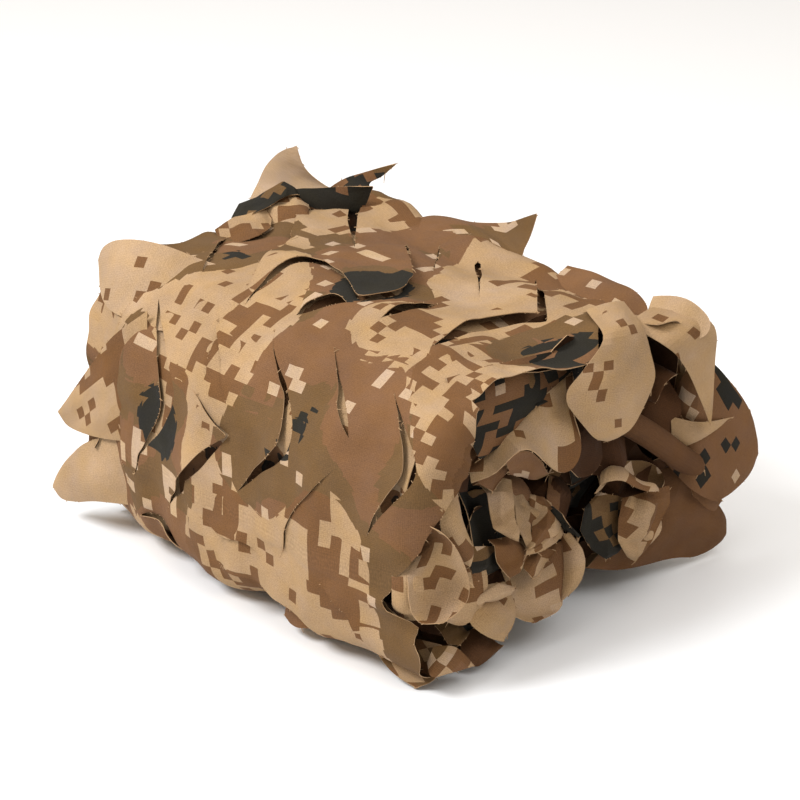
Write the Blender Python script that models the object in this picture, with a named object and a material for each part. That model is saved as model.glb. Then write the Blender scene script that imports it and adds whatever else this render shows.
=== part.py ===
# Camouflage netting: one large incised cloth, folded into a strip and wound from both sides into a
# bundle with two lobes.  The outer turn lies over both lobes; the layers of each lobe show at its ends,
# and the tongues cut into the cloth lift off as leaf tabs.  One piece of cloth, so one solid.
#
# X runs along the bundle, -Y is its long front side, +Z is up and z = 0 is the surface it rests on.
# Sizes in the tables are millimetres and degrees.
import math
from collections import namedtuple

import bpy
import bmesh
from mathutils import Vector

MM = 0.001
SLIVER = 0.08        # a face narrower than this is a sliver
KEPT = 0.92          # share of the faces that stay once the slivers are cleared

CLOTH = 2.4          # thickness of one layer of the crumpled cloth
RIM = 3.0            # thickness of the outer turn where it stands past the lobes
ROOT = 5.0           # how far a leaf tab is sunk into the body at its root
SEAT = 2.0           # how far the root of a slit's tongue is let into the skin
CLEAR = 1.2          # least height of a leaf tab over the surface
ROUND_TIP = 0.3      # width left at the very end of a rounded leaf, as a share of its width
REST = 2.2           # skin lower than this lies flat on the surface
BELLY = 80.0         # height at which the bundle is widest
KEEL = 4.6           # squareness of the bundle below its belly
DIP_Y = 12.0         # middle and width of the dip in the roof
DIP_WIDTH = 52.0
GROOVE_Y = 8.0       # middle and width of the hollow underneath
GROOVE_WIDTH = 17.0
RINGS = 14           # sections along the body
SPOKES = 48          # points around each section
AROUND = 1.9         # millimetres of skin for each degree

# The skin of the bundle at stations along it.
# front and rear are the half widths, sag is the dip of the roof between the lobes, square is the
# squareness of the shoulders and groove is the depth of the hollow between the lobes underneath.
Section = namedtuple("Section", "x front rear height sag square groove")
SECTIONS = (
    Section(-174, 116, 128, 197, 7, 3.5, 24),
    Section(-90, 134, 137, 203, 3, 3.0, 14),
    Section(0, 140, 140, 207, 4, 2.9, 10),
    Section(90, 139, 141, 206, 9, 3.2, 18),
    Section(176, 133, 141, 204, 15, 3.6, 40),
)

# Soft ridges and troughs of the outer turn: a line on the skin from one station and angle to another.
Crease = namedtuple("Crease", "x0 angle0 x1 angle1 width height")
CREASES = (
    Crease(-150, 118, -60, 200, 22, 4),
    Crease(-95, 130, -60, 232, 14, -5),
    Crease(-30, 140, -20, 226, 16, 4),
    Crease(35, 136, 20, 230, 13, -5),
    Crease(95, 150, 80, 226, 17, 4),
    Crease(-120, 84, 120, 104, 20, 4),
    Crease(-100, 60, 40, 76, 15, -5),
    Crease(40, 64, 160, 58, 16, -6),
    Crease(-110, 35, -80, -35, 15, -5),
    Crease(-10, 30, 10, -38, 18, 5),
    Crease(90, 28, 80, -30, 15, -5),
)

# Where the edge of the outer turn ends along X, at angles around the skin.
Edge = namedtuple("Edge", "angle near far")
EDGES = (
    Edge(0, -168, 150),
    Edge(40, -160, 172),
    Edge(62, -166, 176),
    Edge(90, -158, 160),
    Edge(118, -164, 170),
    Edge(142, -172, 182),
    Edge(180, -176, 184),
    Edge(215, -170, 168),
    Edge(250, -164, 158),
    Edge(290, -156, 130),
    Edge(325, -164, 128),
)
RECESS = 20.0        # how far the floor of the ends lies behind that edge
END_MIDDLE = (6.0, 112.0)   # y and z of the middle of that floor

# The two wound lobes as they show at each end: band centre, outer radii, turns and the way they wind.
Lobe = namedtuple("Lobe", "y z ry rz turns start hand")
LOBES = (
    Lobe(-66, 96, 60, 84, 2.5, 60, 1),
    Lobe(70, 94, 62, 82, 2.6, 150, -1),
)
BAND = 6.0           # thickness of a wound band, several layers pressed together
BAND_STEPS = 13      # points in each turn of a band
BAND_CORE = 0.2      # radius of the innermost turn, as a share of the outer radii
BAND_GROWTH = 0.78   # what the radius gains from there to the outermost turn
BAND_WAVER = 0.07    # unevenness of the inner turns, as a share of their radius
LET_IN = 1.8         # height to which the lowest turns are let into the rim
BAND_BACK = 4.0      # how far a band's edge stays behind the edge of the outer turn
BAND_DEPTH = 22.0    # how far a band runs back into the body behind the recess

# Tongues of the S-shaped slits, in pairs: the upper one lifts to one side, the lower one to the other.
# angle is the middle of the slit around the skin, span its length in degrees and slant how far its
# upper end leans along X.  reach is how far a tongue lies over the slit and lift how high its tip stands.
Slit = namedtuple("Slit", "x angle span slant reach width lift hand")
SLITS = (
    Slit(-142, 160, 46, 18, 26, 60, 7, 1),
    Slit(-86, 163, 50, 24, 30, 68, 8, 1),
    Slit(-28, 158, 50, 28, 32, 70, 8, 1),
    Slit(32, 162, 52, 26, 30, 70, 7, 1),
    Slit(90, 164, 50, 26, 32, 68, 8, 1),
    Slit(140, 158, 46, 20, 28, 64, 8, 1),
    Slit(-116, 16, 48, -22, 30, 66, 8, -1),
    Slit(-56, 12, 50, -26, 32, 70, 8, -1),
    Slit(4, 18, 50, -24, 30, 68, 8, -1),
    Slit(64, 14, 48, -26, 32, 68, 8, -1),
    Slit(118, 20, 46, -20, 28, 62, 8, -1),
)

BEHIND = 0.75        # share of a tongue's reach behind the slit, and in front of it
AHEAD = 0.4
LEAN = 0.12          # share of the slit's slant by which the root is shifted along X
TONGUE_BOW = 1.5
TONGUE_CUP = 3.0
TONGUE_STATIONS = (0.0, 0.4, 0.72, 0.92, 1.0)   # cross rows, as shares of a tongue's length
LEAF_STATIONS = (0.0, 0.32, 0.58, 0.8, 0.94, 1.0)

# Leaf tabs that stand clear: root and tip points, the way the leaf faces, its width, how far its middle
# bows out, how deep it is cupped across, and how pointed its tip is (0 round, 1 sharp).
Leaf = namedtuple("Leaf", "name root tip face width bow cup point")
LEAVES = (
    # standing on the roof and shoulders
    Leaf("shoulder tab", (-146, -88, 184), (-177, -88, 207), (-0.3, -0.9, 0.4), 66, 5, 5, 0.0),
    Leaf("tall cusp", (-146, 40, 190), (-152, 60, 243), (0.2, -0.9, 0.3), 66, 6, 6, 0.6),
    Leaf("back cusp", (-122, 96, 190), (-92, 110, 230), (0.1, -0.9, 0.4), 44, 4, 4, 0.9),
    Leaf("ridge tab", (4, 114, 194), (30, 127, 223), (0.3, -0.8, 0.4), 52, 4, 4, 0.6),
    Leaf("rear leaf", (70, 114, 182), (146, 121, 189), (0.0, -0.4, 0.9), 36, 5, 3, 0.3),
    Leaf("rear corner", (158, 128, 176), (180, 143, 188), (0.2, -0.6, 0.8), 34, 3, 3, 0.0),
    Leaf("arched flap", (-24, 60, 198), (14, -40, 210), (0, 0, 1), 92, 7, 5, 0.1),
    Leaf("step flap", (60, 6, 198), (124, -2, 206), (0, 0, 1), 116, 6, 4, 0.0),
    Leaf("crown leaf", (-96, 66, 201), (-128, 20, 208), (0, 0, 1), 62, 8, 5, 0.3),
    Leaf("moon leaf", (-24, -92, 190), (-14, -44, 209), (0, -0.3, 1), 64, 7, 5, 0.0),
    Leaf("roof leaf", (70, -92, 192), (72, -34, 208), (0, -0.3, 1), 70, 6, 4, 0.2),
    # at the left end and along the foot of the front side
    Leaf("left leaf", (-146, -122, 100), (-186, -136, 88), (-0.2, -1, 0.1), 62, 5, 4, 0.7),
    Leaf("low leaf", (-130, -128, 56), (-188, -138, 38), (-0.1, -1, 0.2), 50, 7, 4, 0.1),
    Leaf("foot leaf", (60, -120, 28), (52, -134, 7), (0, -1, 0.4), 46, 4, 3, 0.2),
    Leaf("corner leaf", (148, -112, 34), (174, -124, 9), (0.3, -1, 0.3), 48, 5, 4, 0.2),
    # at the near end, front lobe
    Leaf("curled leaf", (158, -134, 92), (184, -124, 46), (0.8, -0.6, 0), 56, 13, 10, 0.0),
    Leaf("tube petal", (160, -112, 74), (188, -88, 50), (0.8, -0.3, 0.5), 52, 8, 8, 0.0),
    Leaf("inner sheet", (150, -54, 192), (180, -68, 134), (1, -0.1, 0.4), 80, 9, 8, 0.1),
    Leaf("bell leaf", (154, -6, 176), (186, 14, 120), (0.9, 0.2, 0.5), 64, 10, 9, 0.0),
    Leaf("curl leaf", (152, -36, 152), (190, -34, 124), (0.8, 0, 0.6), 46, 10, 9, 0.0),
    Leaf("wing leaf", (154, -62, 104), (192, -34, 78), (0.9, 0, 0.5), 74, 8, 7, 0.3),
    Leaf("faceted leaf", (156, -78, 116), (188, -74, 88), (0.9, -0.2, 0.4), 48, 9, 7, 0.4),
    Leaf("side petal", (150, -14, 74), (180, 16, 34), (0.8, 0.6, 0.2), 62, 8, 8, 0.0),
    Leaf("under petal", (152, -66, 48), (180, -48, 16), (0.9, 0.1, 0.5), 60, 8, 6, 0.1),
    Leaf("corner petal", (154, -100, 44), (176, -94, 14), (0.9, -0.3, 0.4), 54, 8, 6, 0.1),
    # at the near end, rear lobe
    Leaf("hanging leaf", (152, 48, 188), (179, 45, 124), (1, -0.1, 0.3), 58, 10, 6, 0.0),
    Leaf("pointed flap", (156, 120, 184), (176, 141, 108), (1, -0.1, 0.2), 58, 5, 4, 0.9),
    Leaf("large leaf", (152, 132, 102), (176, 184, 80), (1, -0.25, 0.15), 100, 8, 8, 0.0),
    Leaf("floor leaf", (126, 104, 46), (168, 160, 24), (0.6, 0.1, 0.8), 58, 8, 8, 0.0),
    Leaf("crescent leaf", (126, 74, 62), (158, 78, 90), (0.7, 0, 0.7), 68, 8, 8, 0.0),
    Leaf("rolled leaf", (130, 92, 134), (168, 124, 92), (0.7, -0.4, 0.6), 50, 9, 10, 0.0),
    Leaf("ring leaf", (128, 108, 160), (164, 104, 140), (0.5, 0, 0.9), 44, 10, 9, 0.0),
    Leaf("frayed leaf", (122, 66, 52), (152, 84, 28), (0.9, 0, 0.4), 50, 7, 6, 0.3),
    # at the far end
    Leaf("end leaf high", (-148, -36, 170), (-184, -30, 126), (-1, 0, 0.4), 68, 9, 8, 0.0),
    Leaf("end leaf front", (-150, -80, 116), (-188, -74, 82), (-1, -0.2, 0.4), 60, 8, 7, 0.1),
    Leaf("end leaf low", (-146, -56, 62), (-182, -46, 24), (-1, 0, 0.4), 64, 8, 7, 0.0),
    Leaf("end leaf back", (-146, 64, 156), (-186, 71, 111), (-1, 0.1, 0.4), 66, 9, 8, 0.1),
    Leaf("end leaf middle", (-146, 18, 112), (-182, 10, 74), (-1, 0, 0.4), 58, 8, 8, 0.0),
    Leaf("end leaf side", (-146, 104, 118), (-184, 118, 84), (-1, 0.2, 0.4), 60, 8, 7, 0.0),
    Leaf("end leaf foot", (-144, 78, 64), (-182, 86, 26), (-1, 0.2, 0.4), 62, 8, 7, 0.2),
)

CLOTH_COLOUR = (0.55, 0.40, 0.25, 1.0)   # tan print ground, as linear colour


def smooth(t):
    return t * t * (3 - 2 * t)


def signed_power(value, power):
    return math.copysign(abs(value) ** power, value)


def section_at(x):
    """The row of SECTIONS at x, blended between its neighbours."""
    if x <= SECTIONS[0].x:
        return SECTIONS[0]
    for low, high in zip(SECTIONS, SECTIONS[1:]):
        if x <= high.x:
            t = smooth((x - low.x) / (high.x - low.x))
            return Section(*(a + (b - a) * t for a, b in zip(low, high)))
    return SECTIONS[-1]


def outline(x, angle):
    """A point (y, z) of the section at x, before creases."""
    row = section_at(x)
    c = math.cos(math.radians(angle))
    s = math.sin(math.radians(angle))
    power = 2 / (row.square if s > 0 else KEEL)
    y = (row.front if c < 0 else row.rear) * signed_power(c, power)
    if s > 0:
        z = BELLY + (row.height - BELLY) * s ** power
        z -= row.sag * math.exp(-((y - DIP_Y) / DIP_WIDTH) ** 2) * s
    else:
        z = BELLY - BELLY * abs(s) ** power
        z += row.groove * math.exp(-((y - GROOVE_Y) / GROOVE_WIDTH) ** 2) * s * s
    return y, z


def crease_height(x, angle):
    """How far the ridges and troughs lift the skin here."""
    total = 0.0
    for row in CREASES:
        ax, ay = row.x0, row.angle0 * AROUND
        bx, by = row.x1, row.angle1 * AROUND
        px, py = x, angle * AROUND
        if row.angle0 < 90 and angle > 270:
            py -= 360 * AROUND
        length2 = (bx - ax) ** 2 + (by - ay) ** 2
        t = max(0.0, min(1.0, ((px - ax) * (bx - ax) + (py - ay) * (by - ay)) / length2))
        distance = math.hypot(px - ax - (bx - ax) * t, py - ay - (by - ay) * t)
        total += row.height * math.exp(-(distance / row.width) ** 2)
    return total


def skin(x, angle, inset=0.0):
    """A point of the outer turn, and its outward direction across X."""
    y0, z0 = outline(x, angle - 1.5)
    y1, z1 = outline(x, angle + 1.5)
    y, z = outline(x, angle)
    out = Vector((0, z1 - z0, y0 - y1)).normalized()
    lift = crease_height(x, angle % 360) - inset
    point = Vector((x, y, z)) + out * lift
    if inset == 0 and point.z < REST:
        point.z = 0.0
    return point, out


def edge_x(angle, end):
    """Where the outer turn ends: end is "near" or "far"."""
    angle %= 360
    rows = EDGES + (Edge(360, EDGES[0].near, EDGES[0].far),)
    for low, high in zip(rows, rows[1:]):
        if angle <= high.angle:
            t = smooth((angle - low.angle) / (high.angle - low.angle))
            a, b = getattr(low, end), getattr(high, end)
            return a + (b - a) * t
    return getattr(rows[-1], end)


def new_object(name, bm):
    bmesh.ops.scale(bm, vec=(MM, MM, MM), verts=bm.verts)
    bmesh.ops.recalc_face_normals(bm, faces=bm.faces)
    mesh = bpy.data.meshes.new(name)
    bm.to_mesh(mesh)
    bm.free()
    thing = bpy.data.objects.new(name, mesh)
    bpy.context.scene.collection.objects.link(thing)
    return thing


def bridge(bm, ring_a, ring_b):
    count = len(ring_a)
    for i in range(count):
        j = (i + 1) % count
        bm.faces.new((ring_a[i], ring_a[j], ring_b[j], ring_b[i]))


def make_body():
    """The wound bundle: the outer turn, standing past a recessed end at both sides."""
    bm = bmesh.new()
    angles = [360 * i / SPOKES for i in range(SPOKES)]

    def ring(fraction, inset=0.0, back=0.0):
        verts = []
        for angle in angles:
            near, far = edge_x(angle, "near") + back, edge_x(angle, "far") - back
            point, _ = skin(near + (far - near) * fraction, angle, inset)
            if inset:
                point.z = max(point.z, RIM)
            verts.append(bm.verts.new(point))
        return verts

    outer = [ring(i / (RINGS - 1)) for i in range(RINGS)]
    for a, b in zip(outer, outer[1:]):
        bridge(bm, a, b)
    for lip, fraction in ((outer[0], 0.0), (outer[-1], 1.0)):
        inner_lip = ring(fraction, RIM)
        inner_floor = ring(fraction, RIM, RECESS)
        bridge(bm, lip, inner_lip)
        bridge(bm, inner_lip, inner_floor)
        x = sum(v.co.x for v in inner_floor) / SPOKES
        middle = bm.verts.new((x, *END_MIDDLE))
        for i in range(SPOKES):
            bm.faces.new((inner_floor[i], inner_floor[(i + 1) % SPOKES], middle))
    return new_object("camouflage_net", bm)


def make_band(lobe, end):
    """The wound layers of one lobe as a spiral band that stands out of the recess."""
    bm = bmesh.new()
    steps = int(lobe.turns * BAND_STEPS)
    side = 1 if end == "far" else -1
    rows = []
    for i in range(steps + 1):
        t = i / steps
        angle = math.radians(lobe.start + lobe.hand * 360 * lobe.turns * t)
        grow = BAND_CORE + BAND_GROWTH * t
        wave = 1 + BAND_WAVER * math.sin(5.3 * angle + lobe.y) * (1 - t)
        row = []
        for inset in (0.0, BAND):
            y = lobe.y + (lobe.ry * grow * wave - inset) * math.cos(angle)
            z = lobe.z + (lobe.rz * grow * wave - inset) * math.sin(angle)
            base = edge_x(math.degrees(math.atan2(z - END_MIDDLE[1], y)), end)
            tip = base - side * (BAND_BACK + 6 * (1 - t) + 5 * math.sin(3.1 * angle + lobe.z))
            root = base - side * (RECESS + BAND_DEPTH)
            z = max(z, LET_IN + 0.8 * inset)
            row.append((Vector((root, y, z)), Vector((tip, y, z))))
        (outer_root, outer_tip), (inner_root, inner_tip) = row
        rows.append([bm.verts.new(p) for p in (outer_root, outer_tip, inner_tip, inner_root)])
    for a, b in zip(rows, rows[1:]):
        bridge(bm, a, b)
    bm.faces.new(rows[0])
    bm.faces.new(list(reversed(rows[-1])))
    return new_object("band", bm)


def make_leaf(root, tip, face, width, bow, cup, point, stations=LEAF_STATIONS):
    """A tongue of cloth from root to tip, bowed along its length and cupped across."""
    bm = bmesh.new()
    root, tip, face = Vector(root), Vector(tip), Vector(face).normalized()
    along = (tip - root).normalized()
    across = along.cross(face).normalized()
    face = across.cross(along)
    start = root - along * ROOT
    length = (tip - start).length
    rows = []
    for t in stations:
        centre = start + along * (length * t) + face * (4 * bow * t * (1 - t))
        tangent = (along * length + face * (4 * bow * (1 - 2 * t))).normalized()
        normal = across.cross(tangent)
        round_tip = math.sqrt(1 - (1 - ROUND_TIP ** 2) * t ** 2.6)
        sharp_tip = (1 - t) ** 0.8
        half = max(width / 2 * (round_tip * (1 - point) + sharp_tip * point), CLOTH)
        top, bottom = [], []
        for k in (-1, 0, 1):
            dish = cup * (0.5 - abs(k)) * math.sin(math.pi * t)
            middle = centre + across * (half * k) + normal * dish
            middle.z = max(middle.z, CLEAR + CLOTH / 2)
            top.append(middle + normal * (CLOTH / 2))
            bottom.append(middle - normal * (CLOTH / 2))
        rows.append([bm.verts.new(p) for p in top + bottom[::-1]])
    for a, b in zip(rows, rows[1:]):
        for i in range(6):
            j = (i + 1) % 6
            # both sides are split along the same diagonals, so that the thin cloth never crosses itself
            first, second, third, fourth = (a[i], a[j], b[j], b[i]) if i < 3 else (a[j], b[j], b[i], a[i])
            bm.faces.new((first, second, third))
            bm.faces.new((first, third, fourth))
    for end in (rows[0], rows[-1]):
        for quad in ((0, 1, 4, 5), (1, 2, 3, 4)):
            bm.faces.new([end[i] for i in quad])
    return new_object("leaf", bm)


def slit_tongues(slit):
    """The two tongues of an S-shaped slit, lying on the skin and lifting at their tips."""
    up = -1 if slit.angle > 90 else 1
    for half, side in ((0.25, slit.hand), (-0.25, -slit.hand)):
        angle = slit.angle + up * half * slit.span
        x = slit.x + up * -half * slit.slant * 2
        root, out = skin(x + side * slit.reach * BEHIND, angle)
        tip, tip_out = skin(x - side * slit.reach * AHEAD, angle)
        lean = Vector((slit.slant, 0, 0)) * (LEAN * side)
        yield make_leaf(root - out * SEAT + lean, tip + tip_out * slit.lift, out, slit.width, TONGUE_BOW,
                        TONGUE_CUP, 0.0, stations=TONGUE_STATIONS)


def unite(body, pieces):
    """Fuse each piece into the body: it is all one cloth."""
    for piece in pieces:
        union = body.modifiers.new("union", "BOOLEAN")
        union.operation = "UNION"
        union.solver = "MANIFOLD"
        union.object = piece
        bpy.context.view_layer.objects.active = body
        bpy.ops.object.modifier_apply(modifier=union.name)
        bpy.data.objects.remove(piece)


def cloth_material():
    material = bpy.data.materials.new("printed cloth")
    material.use_nodes = True
    shader = material.node_tree.nodes["Principled BSDF"]
    shader.inputs["Base Color"].default_value = CLOTH_COLOUR
    shader.inputs["Roughness"].default_value = 0.82
    shader.inputs["Metallic"].default_value = 0.0
    material.diffuse_color = CLOTH_COLOUR
    return material


def fill_sealed_gaps(body):
    """Leaf tabs that cross can shut in a pocket of air: only the outer shell is kept."""
    bm = bmesh.new()
    bm.from_mesh(body.data)
    left, shells = set(bm.verts), []
    while left:
        shell, front = set(), [left.pop()]
        while front:
            vert = front.pop()
            shell.add(vert)
            near = {edge.other_vert(vert) for edge in vert.link_edges} & left
            left -= near
            front.extend(near)
        shells.append(shell)
    for shell in sorted(shells, key=len)[:-1]:
        bmesh.ops.delete(bm, geom=list(shell), context="VERTS")
    bm.to_mesh(body.data)
    bm.free()


def drop_folded(bm):
    """Remove pairs of faces that are folded flat on each other."""
    same = {}
    for face in bm.faces:
        same.setdefault(frozenset(face.verts), []).append(face)
    folded = [face for faces in same.values() if len(faces) == 2 for face in faces]
    bmesh.ops.delete(bm, geom=folded, context="FACES")


def turn_long_edges(bm):
    """Turn the long edge of each narrow face, where its two neighbours allow it."""
    for face in bm.faces:
        longest = max(face.edges, key=lambda edge: edge.calc_length())
        if 2 * face.calc_area() / longest.calc_length() > SLIVER * MM or not longest.is_manifold:
            continue
        ends = [vert for near in longest.link_faces for vert in near.verts if vert not in longest.verts]
        if bm.edges.get(ends) is None:
            bmesh.utils.edge_rotate(longest, False)


def close_seams(body):
    """Clear the slivers that the unions leave where a leaf meets the skin at a shallow angle."""
    bm = bmesh.new()
    bm.from_mesh(body.data)
    bmesh.ops.triangulate(bm, faces=bm.faces)
    drop_folded(bm)
    bm.to_mesh(body.data)
    bm.free()
    thin_out = body.modifiers.new("thin out", "DECIMATE")
    thin_out.ratio = KEPT
    thin_out.use_collapse_triangulate = True
    bpy.context.view_layer.objects.active = body
    bpy.ops.object.modifier_apply(modifier=thin_out.name)
    bm = bmesh.new()
    bm.from_mesh(body.data)
    turn_long_edges(bm)
    bm.to_mesh(body.data)
    bm.free()


def stand_on_origin(body):
    """Centre the bundle over the origin, resting on z = 0."""
    points = [vertex.co for vertex in body.data.vertices]
    low = Vector([min(p[i] for p in points) for i in range(3)])
    high = Vector([max(p[i] for p in points) for i in range(3)])
    shift = Vector(((low.x + high.x) / 2, (low.y + high.y) / 2, low.z))
    for vertex in body.data.vertices:
        vertex.co -= shift
        if vertex.co.z < SLIVER * MM:
            vertex.co.z = 0.0


def build():
    for thing in list(bpy.data.objects):
        bpy.data.objects.remove(thing)
    body = make_body()
    unite(body, [make_band(lobe, end) for end in ("near", "far") for lobe in LOBES])
    for slit in SLITS:
        unite(body, list(slit_tongues(slit)))
    unite(body, [make_leaf(*leaf[1:]) for leaf in LEAVES])
    fill_sealed_gaps(body)
    close_seams(body)
    stand_on_origin(body)
    body.data.materials.append(cloth_material())
    return body


build()
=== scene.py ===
# Camouflage netting: one large incised cloth, folded into a strip and wound from both sides into a
# bundle with two lobes. Tables are in millimetres and degrees, in the frame before it is centred:
# X runs along the bundle, -Y is its long front side and z = 0 is the surface it rests on.
import math
from collections import namedtuple

import bpy
import bmesh
import numpy as np
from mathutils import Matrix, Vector
from mathutils.geometry import delaunay_2d_cdt


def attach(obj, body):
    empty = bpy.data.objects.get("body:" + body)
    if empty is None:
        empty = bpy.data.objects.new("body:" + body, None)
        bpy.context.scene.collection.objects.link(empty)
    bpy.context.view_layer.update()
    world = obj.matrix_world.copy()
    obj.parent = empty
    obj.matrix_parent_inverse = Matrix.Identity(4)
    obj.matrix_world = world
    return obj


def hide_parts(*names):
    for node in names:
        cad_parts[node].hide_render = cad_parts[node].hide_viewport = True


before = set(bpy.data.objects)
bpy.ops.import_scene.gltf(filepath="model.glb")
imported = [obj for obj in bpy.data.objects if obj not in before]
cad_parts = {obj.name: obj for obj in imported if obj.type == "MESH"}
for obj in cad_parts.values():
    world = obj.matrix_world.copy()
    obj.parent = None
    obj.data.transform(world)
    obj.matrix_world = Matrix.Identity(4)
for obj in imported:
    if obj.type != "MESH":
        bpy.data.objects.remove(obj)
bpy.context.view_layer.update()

mm = 0.001
centring = np.array((2.345, 16.845, 0.0))   # how far the centred frame is shifted
node = "camouflage_net"
clothThickness = 0.5
floorClearance = 0.5   # no corner of the cloth comes nearer to the floor than this

# the skin of the bundle
Section = namedtuple("Section", "x front rear height sag square groove")
sections = np.array((
    Section(-174, 116, 128, 197, 7, 3.5, 24),
    Section(-90, 134, 137, 203, 3, 3.0, 14),
    Section(0, 140, 140, 207, 4, 2.9, 10),
    Section(90, 139, 141, 206, 9, 3.2, 18),
    Section(176, 133, 141, 204, 15, 3.6, 40),
))
skinShape = {
    "belly": 80.0,
    "keel": 4.6,
    "dipY": 12.0,
    "dipWidth": 52.0,
    "grooveY": 8.0,
    "grooveWidth": 17.0,
    "around": 1.9,
}

# soft ridges and troughs from one station and angle to another
Crease = namedtuple("Crease", "x0 angle0 x1 angle1 width height")
creases = (
    Crease(-150, 118, -60, 200, 22, 4),
    Crease(-95, 130, -60, 232, 14, -5),
    Crease(-30, 140, -20, 226, 16, 4),
    Crease(35, 136, 20, 230, 13, -5),
    Crease(95, 150, 80, 226, 17, 4),
    Crease(-120, 84, 120, 104, 20, 4),
    Crease(-100, 60, 40, 76, 15, -5),
    Crease(40, 64, 160, 58, 16, -6),
    Crease(-110, 35, -80, -35, 15, -5),
    Crease(-10, 30, 10, -38, 18, 5),
    Crease(90, 28, 80, -30, 15, -5),
    Crease(-112, 50, 40, 48, 26, 11),
    Crease(-150, 100, -100, 92, 24, -5),
    Crease(-158, 64, -96, 54, 22, 14),
)


def smoothStep(t):
    t = np.clip(t, 0, 1)
    return t * t * (3 - 2 * t)


def sectionAt(x):
    x = np.asarray(x, float)
    stations = sections[:, 0]
    low = np.clip(np.searchsorted(stations, x) - 1, 0, len(stations) - 2)
    t = smoothStep((x - stations[low]) / (stations[low + 1] - stations[low]))[..., None]
    return sections[low] * (1 - t) + sections[low + 1] * t


def outline(x, angle):
    x, angle = np.broadcast_arrays(np.asarray(x, float), np.asarray(angle, float))
    row = sectionAt(x)
    front, rear, height, sag, square, groove = (row[..., i] for i in range(1, 7))
    c, s = np.cos(np.radians(angle)), np.sin(np.radians(angle))
    power = 2 / np.where(s > 0, square, skinShape["keel"])
    y = np.where(c < 0, front, rear) * np.sign(c) * np.abs(c) ** power
    rise = np.abs(s) ** power
    belly = skinShape["belly"]
    top = belly + (height - belly) * rise
    top -= sag * np.exp(-((y - skinShape["dipY"]) / skinShape["dipWidth"]) ** 2) * s
    bottom = belly - belly * rise
    bottom += groove * np.exp(-((y - skinShape["grooveY"]) / skinShape["grooveWidth"]) ** 2) * s * s
    return y, np.where(s > 0, top, bottom)


def creaseHeight(x, angle):
    around = skinShape["around"]
    total = np.zeros(np.broadcast(x, angle).shape)
    for row in creases:
        ax, ay, bx, by = row.x0, row.angle0 * around, row.x1, row.angle1 * around
        py = angle * around
        if row.angle0 < 90:
            py = np.where(angle > 270, py - 360 * around, py)
        length2 = (bx - ax) ** 2 + (by - ay) ** 2
        t = np.clip(((x - ax) * (bx - ax) + (py - ay) * (by - ay)) / length2, 0, 1)
        distance2 = (x - ax - (bx - ax) * t) ** 2 + (py - ay - (by - ay) * t) ** 2
        total = total + row.height * np.exp(-distance2 / row.width ** 2)
    return total


# girth: millimetres around the middle section, from the rear over the roof to the front
girthAngles = np.arange(-130.0, 331.0, 1.0)
girthY, girthZ = outline(0.0, girthAngles)
girthSteps = np.hypot(np.diff(girthY), np.diff(girthZ))
girthTable = np.concatenate(([0], np.cumsum(girthSteps)))
girthTable -= np.interp(0.0, girthAngles, girthTable)


def aboveFloor(points, clearance=floorClearance):
    points[:, 2] = np.maximum(points[:, 2], clearance)


def angleAt(girth):
    return np.interp(girth, girthTable, girthAngles)


def girthAt(angle):
    return np.interp(angle, girthAngles, girthTable)


def skin(x, girth, lift):
    angle = angleAt(girth)
    y0, z0 = outline(x, angle - 1.5)
    y1, z1 = outline(x, angle + 1.5)
    y, z = outline(x, angle)
    out = np.stack((np.zeros_like(y), z1 - z0, y0 - y1), axis=-1)
    out /= np.linalg.norm(out, axis=-1, keepdims=True)
    total = creaseHeight(x, angle % 360) + lift
    point = np.stack((np.broadcast_to(x, y.shape), y, z), axis=-1) + out * total[..., None]
    return point, out


# x and a height, depth or angle on one face of the bundle, turned into x and girth
faceAngles = {"front": (108.0, 262.0), "roof": (8.0, 172.0), "rear": (-80.0, 70.0)}


def toGirth(face, x, value):
    if face == "angle":
        return float(girthAt(value))
    angles = np.linspace(*faceAngles[face], 160)
    y, z = outline(float(x), angles)
    key = y if face == "roof" else z
    order = np.argsort(key)
    return float(girthAt(np.interp(value, key[order], angles[order])))


def onSkin(face, x, value, lift=1.0):
    point, _ = skin(np.array([float(x)]), np.array([toGirth(face, x, value)]), lift)
    return tuple(point[0])


# unevenness
def waves(points, size, seed, count=7):
    rng = np.random.default_rng(seed)
    points = np.asarray(points, float)
    total = np.zeros(len(points))
    for _ in range(count):
        direction = rng.normal(size=points.shape[1])
        direction /= np.linalg.norm(direction)
        wavelength = size * rng.uniform(0.7, 1.5)
        total += np.sin(points @ direction * 2 * math.pi / wavelength + rng.uniform(0, 6.283))
    return total / math.sqrt(count)


def facets(points, size, seed, count=4):
    rng = np.random.default_rng(seed)
    points = np.asarray(points, float)
    total = np.zeros(len(points))
    for _ in range(count):
        direction = rng.normal(size=points.shape[1])
        direction /= np.linalg.norm(direction)
        wavelength = size * rng.uniform(0.7, 1.6)
        phase = points @ direction / wavelength + rng.uniform(0, 1)
        total += np.abs((phase % 1.0) * 2 - 1) * 2 - 1
    return total / math.sqrt(count)


# size in millimetres, seed and height of one set of waves or facets
Ripple = namedtuple("Ripple", "size seed height")


def ripple(points, row, shift=0, kind=waves):
    return kind(points, row.size, row.seed + shift) * row.height


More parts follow.
